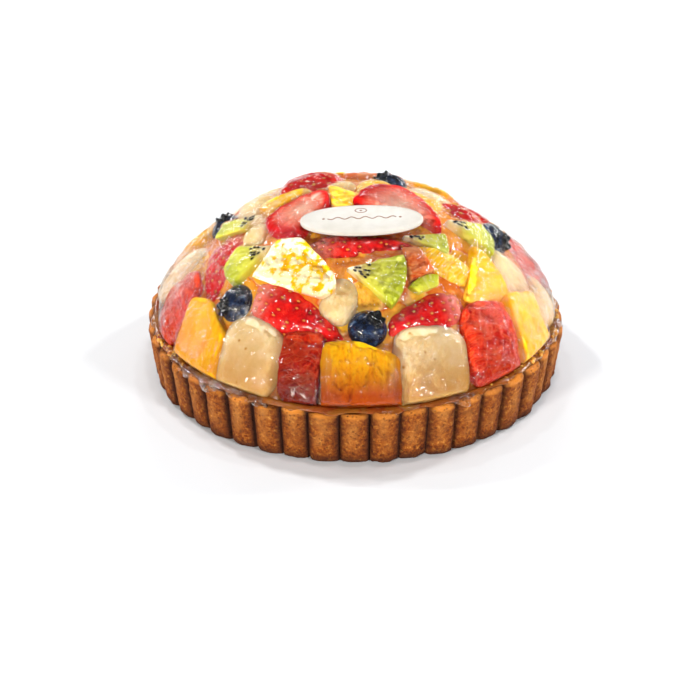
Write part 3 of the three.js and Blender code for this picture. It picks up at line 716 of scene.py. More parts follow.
def blueberryMaterial(look):
    # Blueberry skin with its waxy bloom: near black blue, frosted paler in patches, bare at the crown.
    material, add = newMaterial("blueberry_skin_bloomed")
    place = add("Attribute", attribute_name="place").outputs["Vector"]
    crown = add("Attribute", attribute_name="crown").outputs["Fac"]
    patch = add("TexNoise", {"Vector": place, "Scale": 1 / look["patch"], "Detail": 6.0, "Roughness": 0.66})
    body = add("ValToRGB", {0: patch}, stops=look["ramp"])
    bare = add("Mix", {"Factor": crown, 6: body, 7: look["crown"]})
    bump = add("Bump", {"Height": patch, "Strength": 0.4, "Distance": 0.0006})
    wax = add("MapRange", {"Value": patch, "From Min": 0.4, "From Max": 0.65, "To Min": look["wax"][0],
                           "To Max": look["wax"][1]})
    skin = add("BsdfPrincipled", {"Base Color": bare, "Roughness": wax, "IOR": 1.4, "Specular IOR Level": 0.2,
                                  "Coat Weight": 0.25, "Coat Roughness": 0.04, "Normal": bump})
    add("OutputMaterial", {"Surface": skin})
    return material


# streak: size of the fine marks, in mm. ends: where the ramp's dark and light colours stand.
dry = {"streak": 0.5556, "detail": 2.0, "ends": (0.35, 0.65), "strength": 0.3, "relief": 0.0002,
       "skin": {"IOR": 1.45, "Coat Weight": 0.6, "Coat Roughness": 0.08}}
strawberrySeedLook = {**dry, "dark": "#DE7A1C", "light": "#FFAA3C", "rough": 0.35}
kiwiSeedLook = {**dry, "dark": "#0C0806", "light": "#241812", "rough": 0.25}
cocoaLook = {**dry, "dark": "#6E3A16", "light": "#8A5222", "rough": 0.5}
# Set jelly in crumbs: golden amber, glassy, and light goes a little way into each lump.
crumbFinish = {"dark": "#A85A10", "light": "#F6BC50", "rough": 0.08, "streak": 1.8, "detail": 3.0,
               "ends": (0.36, 0.64), "strength": 0.5, "relief": 0.0006,
               "skin": {"IOR": 1.4, "Subsurface Weight": 0.6, "Subsurface Radius": (1.0, 0.55, 0.2),
                        "Subsurface Scale": 0.002, "Coat Weight": 0.8, "Coat Roughness": 0.03}}


def grainMaterial(name, look):
    # A small hard lump, such as a seed's dry coat, set cocoa butter or a crumb of jelly: fine marks that
    # also stand up a little, and one small highlight from the coat.
    material, add = newMaterial(name)
    place = add("TexCoord").outputs["Object"]
    streak = add("TexNoise", {"Vector": place, "Scale": 1000 / look["streak"], "Detail": look["detail"]})
    low, high = look["ends"]
    body = add("ValToRGB", {0: streak}, stops=[(low, look["dark"]), (high, look["light"])])
    bump = add("Bump", {"Height": streak, "Strength": look["strength"], "Distance": look["relief"]})
    skin = {**look["skin"], "Base Color": body, "Roughness": look["rough"], "Normal": bump}
    add("OutputMaterial", {"Surface": add("BsdfPrincipled", skin)})
    return material


# crumb, patch and pit: millimetres across. dry and glazed: roughness.
# The valley colour is painted shade, the ridge colour a painted highlight, and the toast colour a toasted
# edge that is partly a painted highlight.
crustFinish = {"ramp": [(0.35, "#441702"), (0.68, "#DC9844"), (0.45, "#823A0A"), (0.56, "#A75814")],
               "patchColour": "#7E3F14", "ridge": "#CC8A42", "toast": "#D9842E", "hole": "#6B3514",
               "valley": "#32150A", "crumb": 1.5625, "patch": 6.667, "pit": 1.613, "dry": 0.72,
               "glazed": 0.18}


def crustMaterial(look):
    # Butter shortcrust, baked in a fluted tin: sandy grains and dark pits in golden brown, deep brown painted
    # shade in the valleys, at the foot and inside the rim, a painted highlight along the ridges, and an
    # orange edge on top, toasted and partly a painted highlight, that the glaze leaves shiny.
    material, add = newMaterial("shortcrust_baked_fluted")
    place = add("TexCoord").outputs["Object"]
    valley, toast, glaze, ridge = (add("Attribute", attribute_name=name).outputs["Fac"]
                         for name in ("valley", "toast", "glaze", "ridge"))
    crumb = add("TexNoise", {"Vector": place, "Scale": 1000 / look["crumb"], "Detail": 6.0,
                             "Roughness": 0.78})
    broad = add("TexNoise", {"Vector": place, "Scale": 1000 / look["patch"], "Detail": 4.0})
    pits = add("TexVoronoi", {"Vector": place, "Scale": 1000 / look["pit"], "Randomness": 1.0})
    body = add("ValToRGB", {0: crumb}, stops=look["ramp"])
    patch = add("MapRange", {"Value": broad, "From Min": 0.42, "From Max": 0.66, "To Max": 0.5})
    warm = add("Mix", {"Factor": patch, 6: body, 7: look["patchColour"]})
    # Paler along the flutes' backs: a painted highlight
    sandy = add("Mix", {"Factor": ridge, 6: warm, 7: look["ridge"]})
    # The orange top edge: toasted, and partly a painted highlight
    edge = add("Mix", {"Factor": toast, 6: sandy, 7: look["toast"]})
    hole = add("MapRange", {"Value": pits, "From Min": 0.08, "From Max": 0.3, "To Min": 0.6, "To Max": 0.0})
    pitted = add("Mix", {"Factor": hole, 6: edge, 7: look["hole"]})
    # Deep brown in the valleys, at the foot and inside the rim: painted shade
    deep = add("Mix", {"Factor": valley, 6: pitted, 7: look["valley"]})
    relief = add("Math", {0: crumb, 1: hole}, operation="SUBTRACT")
    bump = add("Bump", {"Height": relief, "Strength": 0.9, "Distance": 0.001})
    dry = add("MapRange", {"Value": glaze, "To Min": look["dry"], "To Max": look["glazed"]})
    skin = add("BsdfPrincipled", {"Base Color": deep, "Roughness": dry, "IOR": 1.45,
                                  "Specular IOR Level": 0.2, "Normal": bump})
    add("OutputMaterial", {"Surface": skin})
    return material


chocolateLook = {"dark": "#BEBAB1", "light": "#C8C4BD", "cloud": 4.0, "ripple": 0.6667}


def chocolateMaterial(look):
    # White chocolate, moulded: a creamy solid that light enters a little way, with a satin skin and
    # faint clouding from the mould.
    material, add = newMaterial("white_chocolate_moulded")
    place = add("Attribute", attribute_name="place").outputs["Vector"]
    cloud = add("TexNoise", {"Vector": place, "Scale": 1 / look["cloud"], "Detail": 4.0})
    body = add("ValToRGB", {0: cloud}, stops=[(0.3, look["dark"]), (0.7, look["light"])])
    fine = add("TexNoise", {"Vector": place, "Scale": 1 / look["ripple"], "Detail": 2.0})
    bump = add("Bump", {"Height": fine, "Strength": 0.06, "Distance": 0.0004})
    skin = add("BsdfPrincipled", {"Base Color": body, "Roughness": 0.42, "IOR": 1.45,
                                  "Subsurface Weight": 0.3,
                                  "Subsurface Radius": (1.0, 0.8, 0.55), "Subsurface Scale": 0.003,
                                  "Normal": bump})
    add("OutputMaterial", {"Surface": skin})
    return material


# cloud: the jelly's own tones. fruit: tones of the pieces sunk in it, each about fruitSize across.
# low: the dark brown towards the base, dark glaze in part and painted shade in part.
bedFinish = {"cloud": [(0.3, "#C85C14"), (0.75, "#FFD060"), (0.46, "#EA8420"), (0.6, "#FCA834")],
             "fruit": [(0.15, "#FFB83C"), (0.85, "#FFD038"), (0.38, "#F0902C"), (0.52, "#DC3C1C"),
                       (0.66, "#F2CC98")],
             "low": "#5C240A", "cloudSize": 7.692, "fruitSize": 13.0, "ripple": 2.381, "sunken": 0.6}


def jellyBedMaterial(look):
    # Set fruit jelly in depth: amber with cloudy patches of the fruit below, from deep brown to gold, and
    # darkest towards the base, where the brown is partly painted shade.
    material, add = newMaterial("jelly_amber_set")
    place = add("TexCoord").outputs["Object"]
    cloud = add("TexNoise", {"Vector": place, "Scale": 1000 / look["cloudSize"], "Detail": 5.0,
                             "Distortion": 1.0})
    body = add("ValToRGB", {0: cloud}, stops=look["cloud"])
    warped = add("VectorMath", {0: cloud.outputs["Color"], 1: (0.008,) * 3, 2: place},
                 operation="MULTIPLY_ADD")
    chunks = add("TexVoronoi", {"Vector": warped, "Scale": 1000 / look["fruitSize"], "Smoothness": 0.35},
                 feature="SMOOTH_F1")
    pick = add("SeparateColor", {0: chunks.outputs["Color"]})
    fruit = add("ValToRGB", {0: pick}, stops=look["fruit"])
    inside = add("Mix", {"Factor": look["sunken"], 6: body, 7: fruit})
    height = add("SeparateXYZ", {0: place})
    # Dark brown towards the base, where the jelly meets the rim: dark glaze, and painted shade
    low = add("MapRange", {"Value": height.outputs["Z"], "From Min": 0.021, "From Max": 0.034, "To Min": 0.85,
                           "To Max": 0.0})
    dark = add("Mix", {"Factor": low, 6: inside, 7: look["low"]})
    ripple = add("TexNoise", {"Vector": place, "Scale": 1000 / look["ripple"], "Detail": 3.0})
    bump = add("Bump", {"Height": ripple, "Strength": 0.6, "Distance": 0.001})
    skin = add("BsdfPrincipled", {"Base Color": dark, "Roughness": 0.15, "IOR": 1.4, "Subsurface Weight": 0.5,
                                  "Subsurface Radius": (1.0, 0.5, 0.2), "Subsurface Scale": 0.004,
                                  "Specular IOR Level": 0.3, "Coat Weight": 0.3, "Coat Roughness": 0.04,
                                  "Normal": bump})
    add("OutputMaterial", {"Surface": skin})
    return material


# wide and fine: the ripples' sizes. fineShare: how high the fine ones stand. fold: width and length
# of the streaky folds, and foldHeight how high they stand where the film hangs thick.
filmFinish = {"wide": 4.762, "fine": 2.083, "fineShare": 0.36, "fold": (2.083, 2.083, 9.091),
              "foldHeight": 1.3, "milkAndGlareWhite": "#F8EFE6"}


def jellyFilmMaterial(look):
    # Clear nappage brushed on warm: it only shows as wet ripples of shine, with a faint milky white where it
    # hangs thick between the pieces, and a white in the side skirts and in patches that is partly painted
    # glare.
    material, add = newMaterial("jelly_clear_brushed")
    place = add("TexCoord").outputs["Object"]
    veil = add("Attribute", attribute_name="veil").outputs["Fac"]
    wide = add("TexNoise", {"Vector": place, "Scale": 1000 / look["wide"], "Detail": 2.0, "Distortion": 0.8})
    fine = add("TexNoise", {"Vector": place, "Scale": 1000 / look["fine"], "Detail": 1.0})
    ripples = add("Math", {0: fine, 1: look["fineShare"], 2: wide}, operation="MULTIPLY_ADD")
    along = add("Mapping", {"Vector": place, "Scale": tuple(1000 / size for size in look["fold"])})
    wisps = add("TexNoise", {"Vector": along, "Scale": 1.0, "Detail": 5.0, "Roughness": 0.65,
                             "Distortion": 1.0})
    folds = add("Math", {0: wisps, 1: veil}, operation="MULTIPLY")
    relief = add("Math", {0: folds, 1: look["foldHeight"], 2: ripples}, operation="MULTIPLY_ADD")
    bump = add("Bump", {"Height": relief, "Strength": 0.68, "Distance": 0.0018})
    shine = add("Fresnel", {"IOR": 1.34, "Normal": bump})
    clear = add("BsdfTransparent", {"Color": (1.0, 0.985, 0.95, 1.0)})
    gloss = add("BsdfAnisotropic", {"Color": (1.0, 1.0, 1.0, 1.0), "Roughness": 0.035, "Normal": bump})
    # A white diffuse layer: milky jelly, and painted glare in the skirts and patches
    milkAndGlareWhite = add("BsdfDiffuse", {"Color": look["milkAndGlareWhite"], "Normal": bump})
    spread = add("MapRange", {"Value": wisps, "From Min": 0.46, "From Max": 0.72})
    amount = add("Math", {0: spread, 1: veil}, operation="MULTIPLY")
    body = add("MixShader", {0: amount, 1: clear, 2: milkAndGlareWhite})
    whole = add("MixShader", {0: shine, 1: body, 2: gloss})
    add("OutputMaterial", {"Surface": whole})
    return material


strawberrySkin = strawberrySkinMaterial(strawberryLook)
strawberryFace = strawberryFaceMaterial(sliceLook)
kiwiFlesh = kiwiMaterial(kiwiLook)
blueberrySkin = blueberryMaterial(blueberryLook)
strawberrySeed = grainMaterial("strawberry_seed_dry", strawberrySeedLook)
kiwiSeed = grainMaterial("kiwi_seed_dry", kiwiSeedLook)
cocoaPrint = grainMaterial("cocoa_butter_printed", cocoaLook)
crustBaked = crustMaterial(crustFinish)
whiteChocolate = chocolateMaterial(chocolateLook)
jellyBed = jellyBedMaterial(bedFinish)
jellyFilm = jellyFilmMaterial(filmFinish)
jellyCrumb = grainMaterial("jelly_amber_crumbled", crumbFinish)
print("materials made:", len(bpy.data.materials))


# The slot and the materials of each kind of fruit
dressing = {
    "pear": ("pear_flesh", [pearFlesh]),
    "mango": ("mango_flesh", [mangoFlesh]),
    "papaya": ("papaya_flesh", [papayaFlesh]),
    "grapefruit": ("grapefruit_flesh", [grapefruitFlesh]),
    "orange": ("orange_flesh", [orangeFlesh]),
    "strawberry": ("strawberry_skin", [strawberrySkin, strawberrySeed]),
    "slice": ("strawberry_flesh", [strawberryFace]),
    "kiwi": ("kiwi_flesh", [kiwiFlesh, kiwiSeed]),
    "blueberry": ("blueberry_skin", [blueberrySkin]),
}
# gap: between seeds, in mm. pit and pitRadius: how deep and wide each one's pit is. sway: how far seeds
# stray, in radians. bare: lowest level with seeds, in shares of the thickness.
berrySeeds = {"gap": 3.9, "size": (1.4, 0.85, 0.6), "pit": 0.5, "pitRadius": 1.0, "sway": (0.08, 0.05),
              "bare": -0.32}
# from and to: nearest and furthest ring from the wedge's point. ring and gap: between rings and seeds.
kiwiSeeds = {"from": 2.6, "to": 8.0, "gap": 1.95, "ring": 1.6, "size": (1.5, 0.82, 0.75)}
# The way each crown faces. Flaps and hollow are in mm, and the angles are in degrees from the crown.
berryCrowns = {"blueberry_1": (-0.85, -0.45, 0.1), "blueberry_2": (0.5, -0.2, 0.85),
               "blueberry_3": (0.95, -0.3, 0.1), "blueberry_4": (-0.5, 0.6, 0.6),
               "blueberry_5": (-0.4, 0.2, 0.9)}
crownLook = {"flap": 1.6, "ring": 23, "width": 5.5, "hollow": 1.5, "inside": (12, 21), "waxFrom": (27, 36)}


def strawberryParts(name):
    # Staggered rows of seeds round the long axis, each in a pit that lowers the skin by
    # depth times exp(-(distance / radius)^2)
    shape = FruitShape(name)
    half = shape.size / 2
    draw = np.random.default_rng(shape.seed)
    ways = []
    rows = int(2 * half[0] / berrySeeds["gap"] * 1.15)
    for row in range(rows):
        polar = math.pi * (row + 0.6) / rows
        around = max(3, int(round(2 * math.pi * half[1] * math.sin(polar) / berrySeeds["gap"])))
        turn = 2 * math.pi * (np.arange(around) + 0.5 * (row % 2)) / around
        turn = turn + draw.normal(0, berrySeeds["sway"][0], around)
        tilt = polar + draw.normal(0, berrySeeds["sway"][1], around)
        ways.append(np.stack([np.cos(tilt) * half[0], np.sin(tilt) * np.cos(turn) * half[1],
                              np.sin(tilt) * np.sin(turn) * half[2]], -1))
    ways = np.concatenate(ways)
    ways /= np.linalg.norm(ways, axis=1)[:, None]
    ways = ways[shape.uncut(ways) > 0.93]
    spots, normals = surfaceNormals(shape, ways)
    raised = spots[:, 2] > berrySeeds["bare"] * shape.size[2]
    spots, normals = spots[raised], normals[raised]
    rings, columns = shape.shape["grid"]
    ways = polarGrid(rings, columns, 0, half)
    skin = shape.points(ways)
    near = np.full(len(skin), 99.0)
    for spot in spots:
        near = np.minimum(near, np.linalg.norm(skin - spot, axis=1))
    pit = np.exp(-(near / berrySeeds["pitRadius"]) ** 2)
    skin = skin - ways * (pit * berrySeeds["pit"])[:, None]
    stalk = smoothStep(-0.35, -0.95, skin[:, 0] / half[0]) * 0.75
    world = shape.toWorld(skin)
    extra = {"place": skin, "pit": pit, "pale": stalk, "tint": np.ones(len(skin))}
    parts = [(world, ringFaces(rings, columns), 0, extra)]
    sunk = spots - normals * berrySeeds["pit"] * 0.75
    forward = np.tile([1.0, 0.05, 0], (len(spots), 1))
    for seed, faces in smallSeeds(sunk, normals, forward, np.array(berrySeeds["size"])):
        parts.append((shape.toWorld(seed), faces, 1, {}))
    return parts, world


def kiwiParts(name):
    # fromCore is the distance from the wedge's point over its length. Seeds lie in rings round the
    # point, each turned to point at it, and sit half in the flesh.
    shape = FruitShape(name)
    half = shape.size * packing / 2
    rings, columns = shape.shape["grid"]
    ways = polarGrid(rings, columns, 2, half)
    flesh = shape.points(ways)
    arm = flesh[:, :2] + [half[0], 0]
    far = np.hypot(arm[:, 0], arm[:, 1])
    turn = np.arctan2(arm[:, 1], arm[:, 0])
    radial = np.stack([turn * 14, far * 0.12, flesh[:, 2] * 0.12], -1)
    world = shape.toWorld(flesh)
    extra = {"place": flesh, "radial": radial, "fromCore": far / (2 * half[0]), "tint": np.ones(len(flesh)),
             "steeped": np.ones(len(flesh))}
    parts = [(world, ringFaces(rings, columns), 0, extra)]
    draw = np.random.default_rng(shape.seed)
    spread = math.atan2(half[1], 1.7 * half[0])
    targets = []
    for away in np.arange(kiwiSeeds["from"], kiwiSeeds["to"], kiwiSeeds["ring"]):
        many = max(2, int(2 * spread * away / kiwiSeeds["gap"]))
        angles = spread * 0.86 * (2 * (np.arange(many) + 0.5) / many - 1) + draw.normal(0, 0.06, many)
        lengths = away + draw.normal(0, 0.35, many)
        targets.append(np.stack([lengths * np.cos(angles) - half[0], lengths * np.sin(angles),
                                 np.full(many, shape.size[2] / 2)], -1))
    targets = np.concatenate(targets)
    targets = targets[draw.random(len(targets)) < 0.88]
    toward = targets - shape.start
    toward /= np.linalg.norm(toward, axis=1)[:, None]
    toward = toward[shape.uncut(toward) > 0.7]
    if len(toward):
        spots, normals = surfaceNormals(shape, toward)
        flat = normals[:, 2] > 0.75
        spots, normals = spots[flat], normals[flat]
        forward = spots + [half[0], 0, 0]
        forward[:, 2] = 0
        for seed, faces in smallSeeds(spots + normals * 0.1, normals, -forward, np.array(kiwiSeeds["size"])):
            parts.append((shape.toWorld(seed), faces, 1, {}))
    return parts, world


def blueberryParts(name):
    # A squat ball whose grid has its pole at the crown. Five flaps rise in a ring round a hollow:
    # rise = flap height times exp(-((angle - ring) / width)^2), parted by |cos(5 turn / 2)|
    shape = FruitShape(name)
    rings, columns = shape.shape["grid"]
    crown = shape.axes @ np.array(berryCrowns[name])
    crown /= np.linalg.norm(crown)
    side = np.cross(crown, [0.3, 0.2, 1.0])
    side /= np.linalg.norm(side)
    flat = polarGrid(rings, columns, 2, np.ones(3))
    ways = flat @ np.array([side, np.cross(crown, side), crown])
    skin = shape.points(ways)
    angle = np.degrees(np.arccos(np.clip(flat[:, 2], -1, 1)))
    turn = np.arctan2(flat[:, 1], flat[:, 0])
    flaps = np.exp(-((angle - crownLook["ring"]) / crownLook["width"]) ** 2)
    flaps = flaps * (0.3 + 0.7 * np.abs(np.cos(2.5 * turn)) ** 1.3)
    hollow = 1 - smoothStep(*crownLook["inside"], angle)
    skin = skin + ways * (crownLook["flap"] * flaps - crownLook["hollow"] * hollow)[:, None]
    world = shape.toWorld(skin)
    bare = 1 - smoothStep(*crownLook["waxFrom"], angle)
    return [(world, ringFaces(rings, columns), 0, {"place": skin, "crown": bare})], world


def chunkParts(name):
    # Cut fruit: the rounded shape as it is. level is 0 in the middle of its face and 1 at its rim, and
    # radial runs round the face for the rays of a slice.
    shape = FruitShape(name)
    rings, columns = shape.shape["grid"]
    ways = polarGrid(rings, columns, shape.shape["pole"], shape.size / 2)
    flesh = shape.points(ways)
    level = shareOf(flesh, shape.shape, shape.size, shape.outline)[1]
    turn = np.arctan2(flesh[:, 1], flesh[:, 0])
    radial = np.stack([turn * 7, np.hypot(flesh[:, 0], flesh[:, 1]) * 0.15, flesh[:, 2] * 0.15], -1)
    world = shape.toWorld(flesh)
    extra = {"place": flesh, "level": level, "radial": radial}
    for key in ("tint", "frost", "steeped"):
        extra[key] = np.full(len(flesh), shape.look[key])
    return [(world, ringFaces(rings, columns), 0, extra)], world


makers = {"strawberry": strawberryParts, "kiwi": kiwiParts, "blueberry": blueberryParts}
fruitPoints = []
for name in fruitPlaces:
    kind = name.split("_")[0]
    parts, surface = makers.get(kind, chunkParts)(name)
    state = "whole" if kind in ("strawberry", "blueberry") else "cut"
    slot, finish = dressing[kind]
    makePiece(f"{name}_{state}", parts, finish, (name,))
    fruitPoints.append(surface)
fruitPoints = np.concatenate(fruitPoints)
print("fruit made:", len(fruitPlaces), "pieces")


plaqueShape = {"length": 43.0, "width": 20.0, "thickness": 3.4, "azimuth": 7, "reach": 17.5, "spin": 4,
               "lean": 2, "lift": 2.6, "outline": ("block", 2.15), "power": 3.4, "grid": (70, 160)}


def plaqueFrame():
    # Turned by spin about its own z and then leant back about x, standing lift above the dome
    around, spin, lean = (math.radians(plaqueShape[k]) for k in ("azimuth", "spin", "lean"))
    reach = plaqueShape["reach"]
    out = np.array([math.sin(around), -math.cos(around), 0])
    normal = np.array([0, 0, 1]) - domeSlope(reach) * out
    normal /= np.linalg.norm(normal)
    leaning = np.array([[1, 0, 0], [0, math.cos(lean), -math.sin(lean)], [0, math.sin(lean), math.cos(lean)]])
    turning = np.array([[math.cos(spin), -math.sin(spin), 0], [math.sin(spin), math.cos(spin), 0], [0, 0, 1]])
    proud = plaqueShape["lift"] - plaqueShape["thickness"] / 2
    return (leaning @ turning).T, out * reach + [0, 0, domeZ(reach)] + normal * proud


def ribbon(path, width, height, loop):
    # A low rounded line along a path: an ellipse of points round each step, closed at the ends
    ahead = np.roll(path, -1, 0) - np.roll(path, 1, 0) if loop else np.gradient(path, axis=0)
    ahead /= np.linalg.norm(ahead, axis=1)[:, None]
    side = np.cross(ahead, [0, 0, 1.0])
    turn = 2 * np.pi * np.arange(8) / 8
    ring = path[:, None] + side[:, None] * np.cos(turn)[:, None] * width / 2
    ring[:, :, 2] += np.sin(turn) * height
    if loop:
        return ring.reshape(-1, 3), loopFaces(len(path), 8)
    return np.concatenate([path[:1], ring.reshape(-1, 3), path[-1:]]), ringFaces(len(path), 8)


plaqueAxes, plaqueOrigin = plaqueFrame()
plaqueHalf = np.array([plaqueShape["length"], plaqueShape["width"], plaqueShape["thickness"]]) / 2
plaqueGrid = plaqueShape["grid"]
plaqueWays = polarGrid(*plaqueGrid, 2, plaqueHalf)
plaqueEdge = outlineOf(plaqueShape["outline"], plaqueHalf[0], plaqueHalf[1])
plaqueKind = {"middle": 0, "above": 0.5, "below": 0.5, "power": plaqueShape["power"]}
plaqueLocal = plaqueWays / shareOf(plaqueWays, plaqueKind, plaqueHalf * 2, plaqueEdge)[0][:, None]
plaqueWorld = plaqueOrigin + plaqueLocal @ plaqueAxes
plaqueParts = [(plaqueWorld, ringFaces(*plaqueGrid), 0, {"place": plaqueLocal})]
makePiece("plaque_bare", plaqueParts, [whiteChocolate], ("plaque",))

# A printed ornament: a wave between two dots, and a ring round a dot, all in millimetres.
# high: how far lines stand up. dotAt: how far from the middle the two dots are.
ornament = {"waveLength": 24.0, "waves": 5, "swing": 0.75, "line": 0.5, "low": -1.0, "ring": 2.0,
            "ringUp": 4.4, "high": 0.08, "dot": (0.5, 0.5, 0.1), "dotAt": 13.4}
along = np.linspace(-0.5, 0.5, 121)
swing = ornament["low"] + ornament["swing"] * np.sin(2 * np.pi * ornament["waves"] * along)
wave = np.stack([along * ornament["waveLength"], swing, np.zeros(121)], -1)
turn = 2 * np.pi * np.arange(40) / 40
ringUp = ornament["ringUp"] + 0.8 * ornament["ring"] * np.sin(turn)
circle = np.stack([ornament["ring"] * np.cos(turn), ringUp, np.zeros(40)], -1)
marks = [ribbon(wave, ornament["line"], ornament["high"], False),
         ribbon(circle, ornament["line"] * 0.8, ornament["high"], True)]
dot = polarGrid(5, 10, 2, np.ones(3)) * ornament["dot"]
dots = ((-ornament["dotAt"], ornament["low"]), (ornament["dotAt"], ornament["low"]), (0, ornament["ringUp"]))
for x, y in dots:
    marks.append((dot + [x, y, 0], ringFaces(5, 10)))
for shell, faces in marks:
    level = shareOf(shell, plaqueKind, plaqueHalf * 2, plaqueEdge)[1]
    shell[:, 2] += plaqueHalf[2] * (1 - level ** plaqueShape["power"]) ** (1 / plaqueShape["power"])
ornamentParts = [(plaqueOrigin + shell @ plaqueAxes, faces, 0, {}) for shell, faces in marks]
makePiece("plaque_ornament", ornamentParts, [cocoaPrint], ())
print("plaque made")


# swayAcross, swayOut and swayUp: how far a flute's edges (in flutes), belly and top (in mm) stray.
# lean: how far it bulges to one side. crumb and pock: height of the sandy grains and depth of the
# pocks. foot: how ragged the lowest edge is, and chip the uppermost.
crustLook = {"flutes": 44, "depth": 2.6, "columnsPerFlute": 32, "swayAcross": 0.05, "swayOut": 0.4,
             "swayUp": 0.6, "lean": 0.22, "crease": 0.4, "creaseWidth": 0.09, "crumb": 0.2, "pock": 0.22,
             "foot": 0.9, "chip": 0.6}
# radius, height, share of the flutes, and steps from the point before
crustProfile = [(20, 0, 0, 1), (60, 0, 0, 1), (70.6, 0, 0.78, 1), (71.6, 0.1, 0.82, 2), (72.3, 0.5, 0.88, 2),
                (72.7, 1.4, 0.92, 2), (75.0, 18.2, 1.0, 34), (75.0, 19.4, 1.0, 3), (74.5, 20.1, 0.97, 2),
                (73.8, 20.4, 0.9, 2), (70.6, 20.4, 0.15, 5), (70.2, 19.8, 0, 1), (64.8, 5.0, 0, 2),
                (30, 5.0, 0, 1)]


def crustRows():
    # The profile with even steps between its points
    rows = [np.array(crustProfile[0][:3], float)]
    for before, after in zip(crustProfile[:-1], crustProfile[1:]):
        start, end = np.array(before[:3]), np.array(after[:3])
        for step in range(1, after[3] + 1):
            rows.append(start + (end - start) * step / after[3])
    return np.array(rows)


def crustMarks(points, wide, across, outside):
    # Shares from 0 to 1 that colour the crust, and 0 at both poles. valley: painted shade between flutes,
    # more on one side of each, at the foot and inside the rim. toast: the orange edge on top, toasted and
    # partly a
    # painted highlight. glaze: jelly on it. ridge: a painted highlight down the flutes' backs.
    upward = points[:, 2]
    patch = latticeNoise(points, 7, 55)
    inward = 1 - smoothStep(72.6, 73.9, wide)
    # Painted shade between the flutes, more on one side of each, then at the foot and inside the rim
    valley = np.exp(-((1 - np.abs(across)) / 0.24) ** 2) * 0.5 + 0.3 * smoothStep(0.3, 1.0, np.abs(across))
    valley = (valley + 0.25 * smoothStep(-0.2, 1.0, across)) * smoothStep(0.3, 1.0, outside)
    valley = np.maximum(valley, (1 - smoothStep(0.2, 6.0, upward)) * 0.85)
    valley = np.maximum(valley, smoothStep(19.0, 20.0, upward) * inward * 0.75)
    # The orange top edge: toasted, and partly a painted highlight
    toast = smoothStep(18.4, 19.7, upward) * (1 - inward) * (0.75 + 0.35 * patch)
    glaze = smoothStep(18.8, 20.0, upward) * np.clip(0.7 + 0.6 * patch, 0, 1)
    # A painted highlight down each flute's back, a little to one side of its middle
    ridge = np.exp(-((across + 0.15) / 0.45) ** 2) * outside
    ridge = ridge * smoothStep(3, 9, upward) * np.clip(0.26 + 0.3 * latticeNoise(points, 4.5, 63), 0, 1)
    marks = {"valley": valley, "toast": toast, "glaze": glaze, "ridge": ridge}
    return {key: np.concatenate([[0], np.clip(values, 0, 1), [0]]) for key, values in marks.items()}


def buildCrust():
    # Distance from the axis: profile radius - share times (flute depth times (1 - sqrt(1 - across^2)) plus
    # a narrow crease), where across runs from -1 to 1 between two valleys. Widths, heights and bulges
    # differ a little from flute to flute, and crumbs roughen the outside.
    draw = np.random.default_rng(7)
    flutes, perFlute = crustLook["flutes"], crustLook["columnsPerFlute"]
    columns = flutes * perFlute
    rows = crustRows()
    radius, height, share = rows.T[:, :, None]
    sway = np.append(0, np.append(draw.normal(0, crustLook["swayAcross"], flutes - 1), 0))
    edges = np.arange(flutes + 1) - 0.5 + sway
    turn = np.arange(columns) / perFlute
    turn = np.where(turn >= flutes - 0.5, turn - flutes, turn)
    index = np.clip(np.searchsorted(edges, turn, side="right") - 1, 0, flutes - 1)
    across = 2 * (turn - edges[index]) / (edges[index + 1] - edges[index]) - 1
    bulge, rise, skew = (draw.normal(0, 1, flutes)[index] for _ in range(3))
    window = 1 - np.abs(across) ** 6
    drop = crustLook["depth"] * (1 - np.sqrt(np.maximum(1 - across ** 2, 0)))
    drop = drop + crustLook["crease"] * np.exp(-((1 - np.abs(across)) / crustLook["creaseWidth"]) ** 2)
    belly = crustLook["swayOut"] * np.clip(bulge, -1.3, 1.0) + crustLook["lean"] * skew * across
    distance = radius - share * (drop - window * belly)
    lifted = smoothStep(14, 20, height) * window * crustLook["swayUp"] * np.clip(rise, -1.5, 0.9)
    angle = 2 * np.pi * turn / flutes
    points = np.stack([distance * np.sin(angle), -distance * np.cos(angle),
                       height + lifted * (share > 0.1)], -1).reshape(-1, 3)
    outside = np.repeat(rows[:, 2], columns)
    sandy = roughNoise(points, 2.2, 3) * crustLook["crumb"]
    sandy = sandy + np.minimum(latticeNoise(points, 1.1, 9), 0) * crustLook["pock"]
    foot = (1 - smoothStep(0.4, 2.6, points[:, 2])) * latticeNoise(points * [1, 1, 0.2], 2.6, 21)
    wide = np.hypot(points[:, 0], points[:, 1])
    push = outside * (sandy + np.minimum(foot * crustLook["foot"], 0.15))
    points[:, :2] *= (1 + push / wide)[:, None]
    ragged = np.where(points[:, 2] > 17, crustLook["chip"], 0) * latticeNoise(points, 3.1, 40)
    points[:, 2] += ragged * np.minimum(outside * 2, 1)
    points[:, 2] = np.maximum(points[:, 2], 0)
    marks = crustMarks(points, wide, np.tile(across, len(rows)), outside)
    points = np.concatenate([[[0, 0, 0]], points, [[0, 0, 5.0]]])
    return [(points, ringFaces(len(rows), columns), 0, marks)]


makePiece("crust_baked", buildCrust(), [crustBaked], ("crust",))
print("case made")


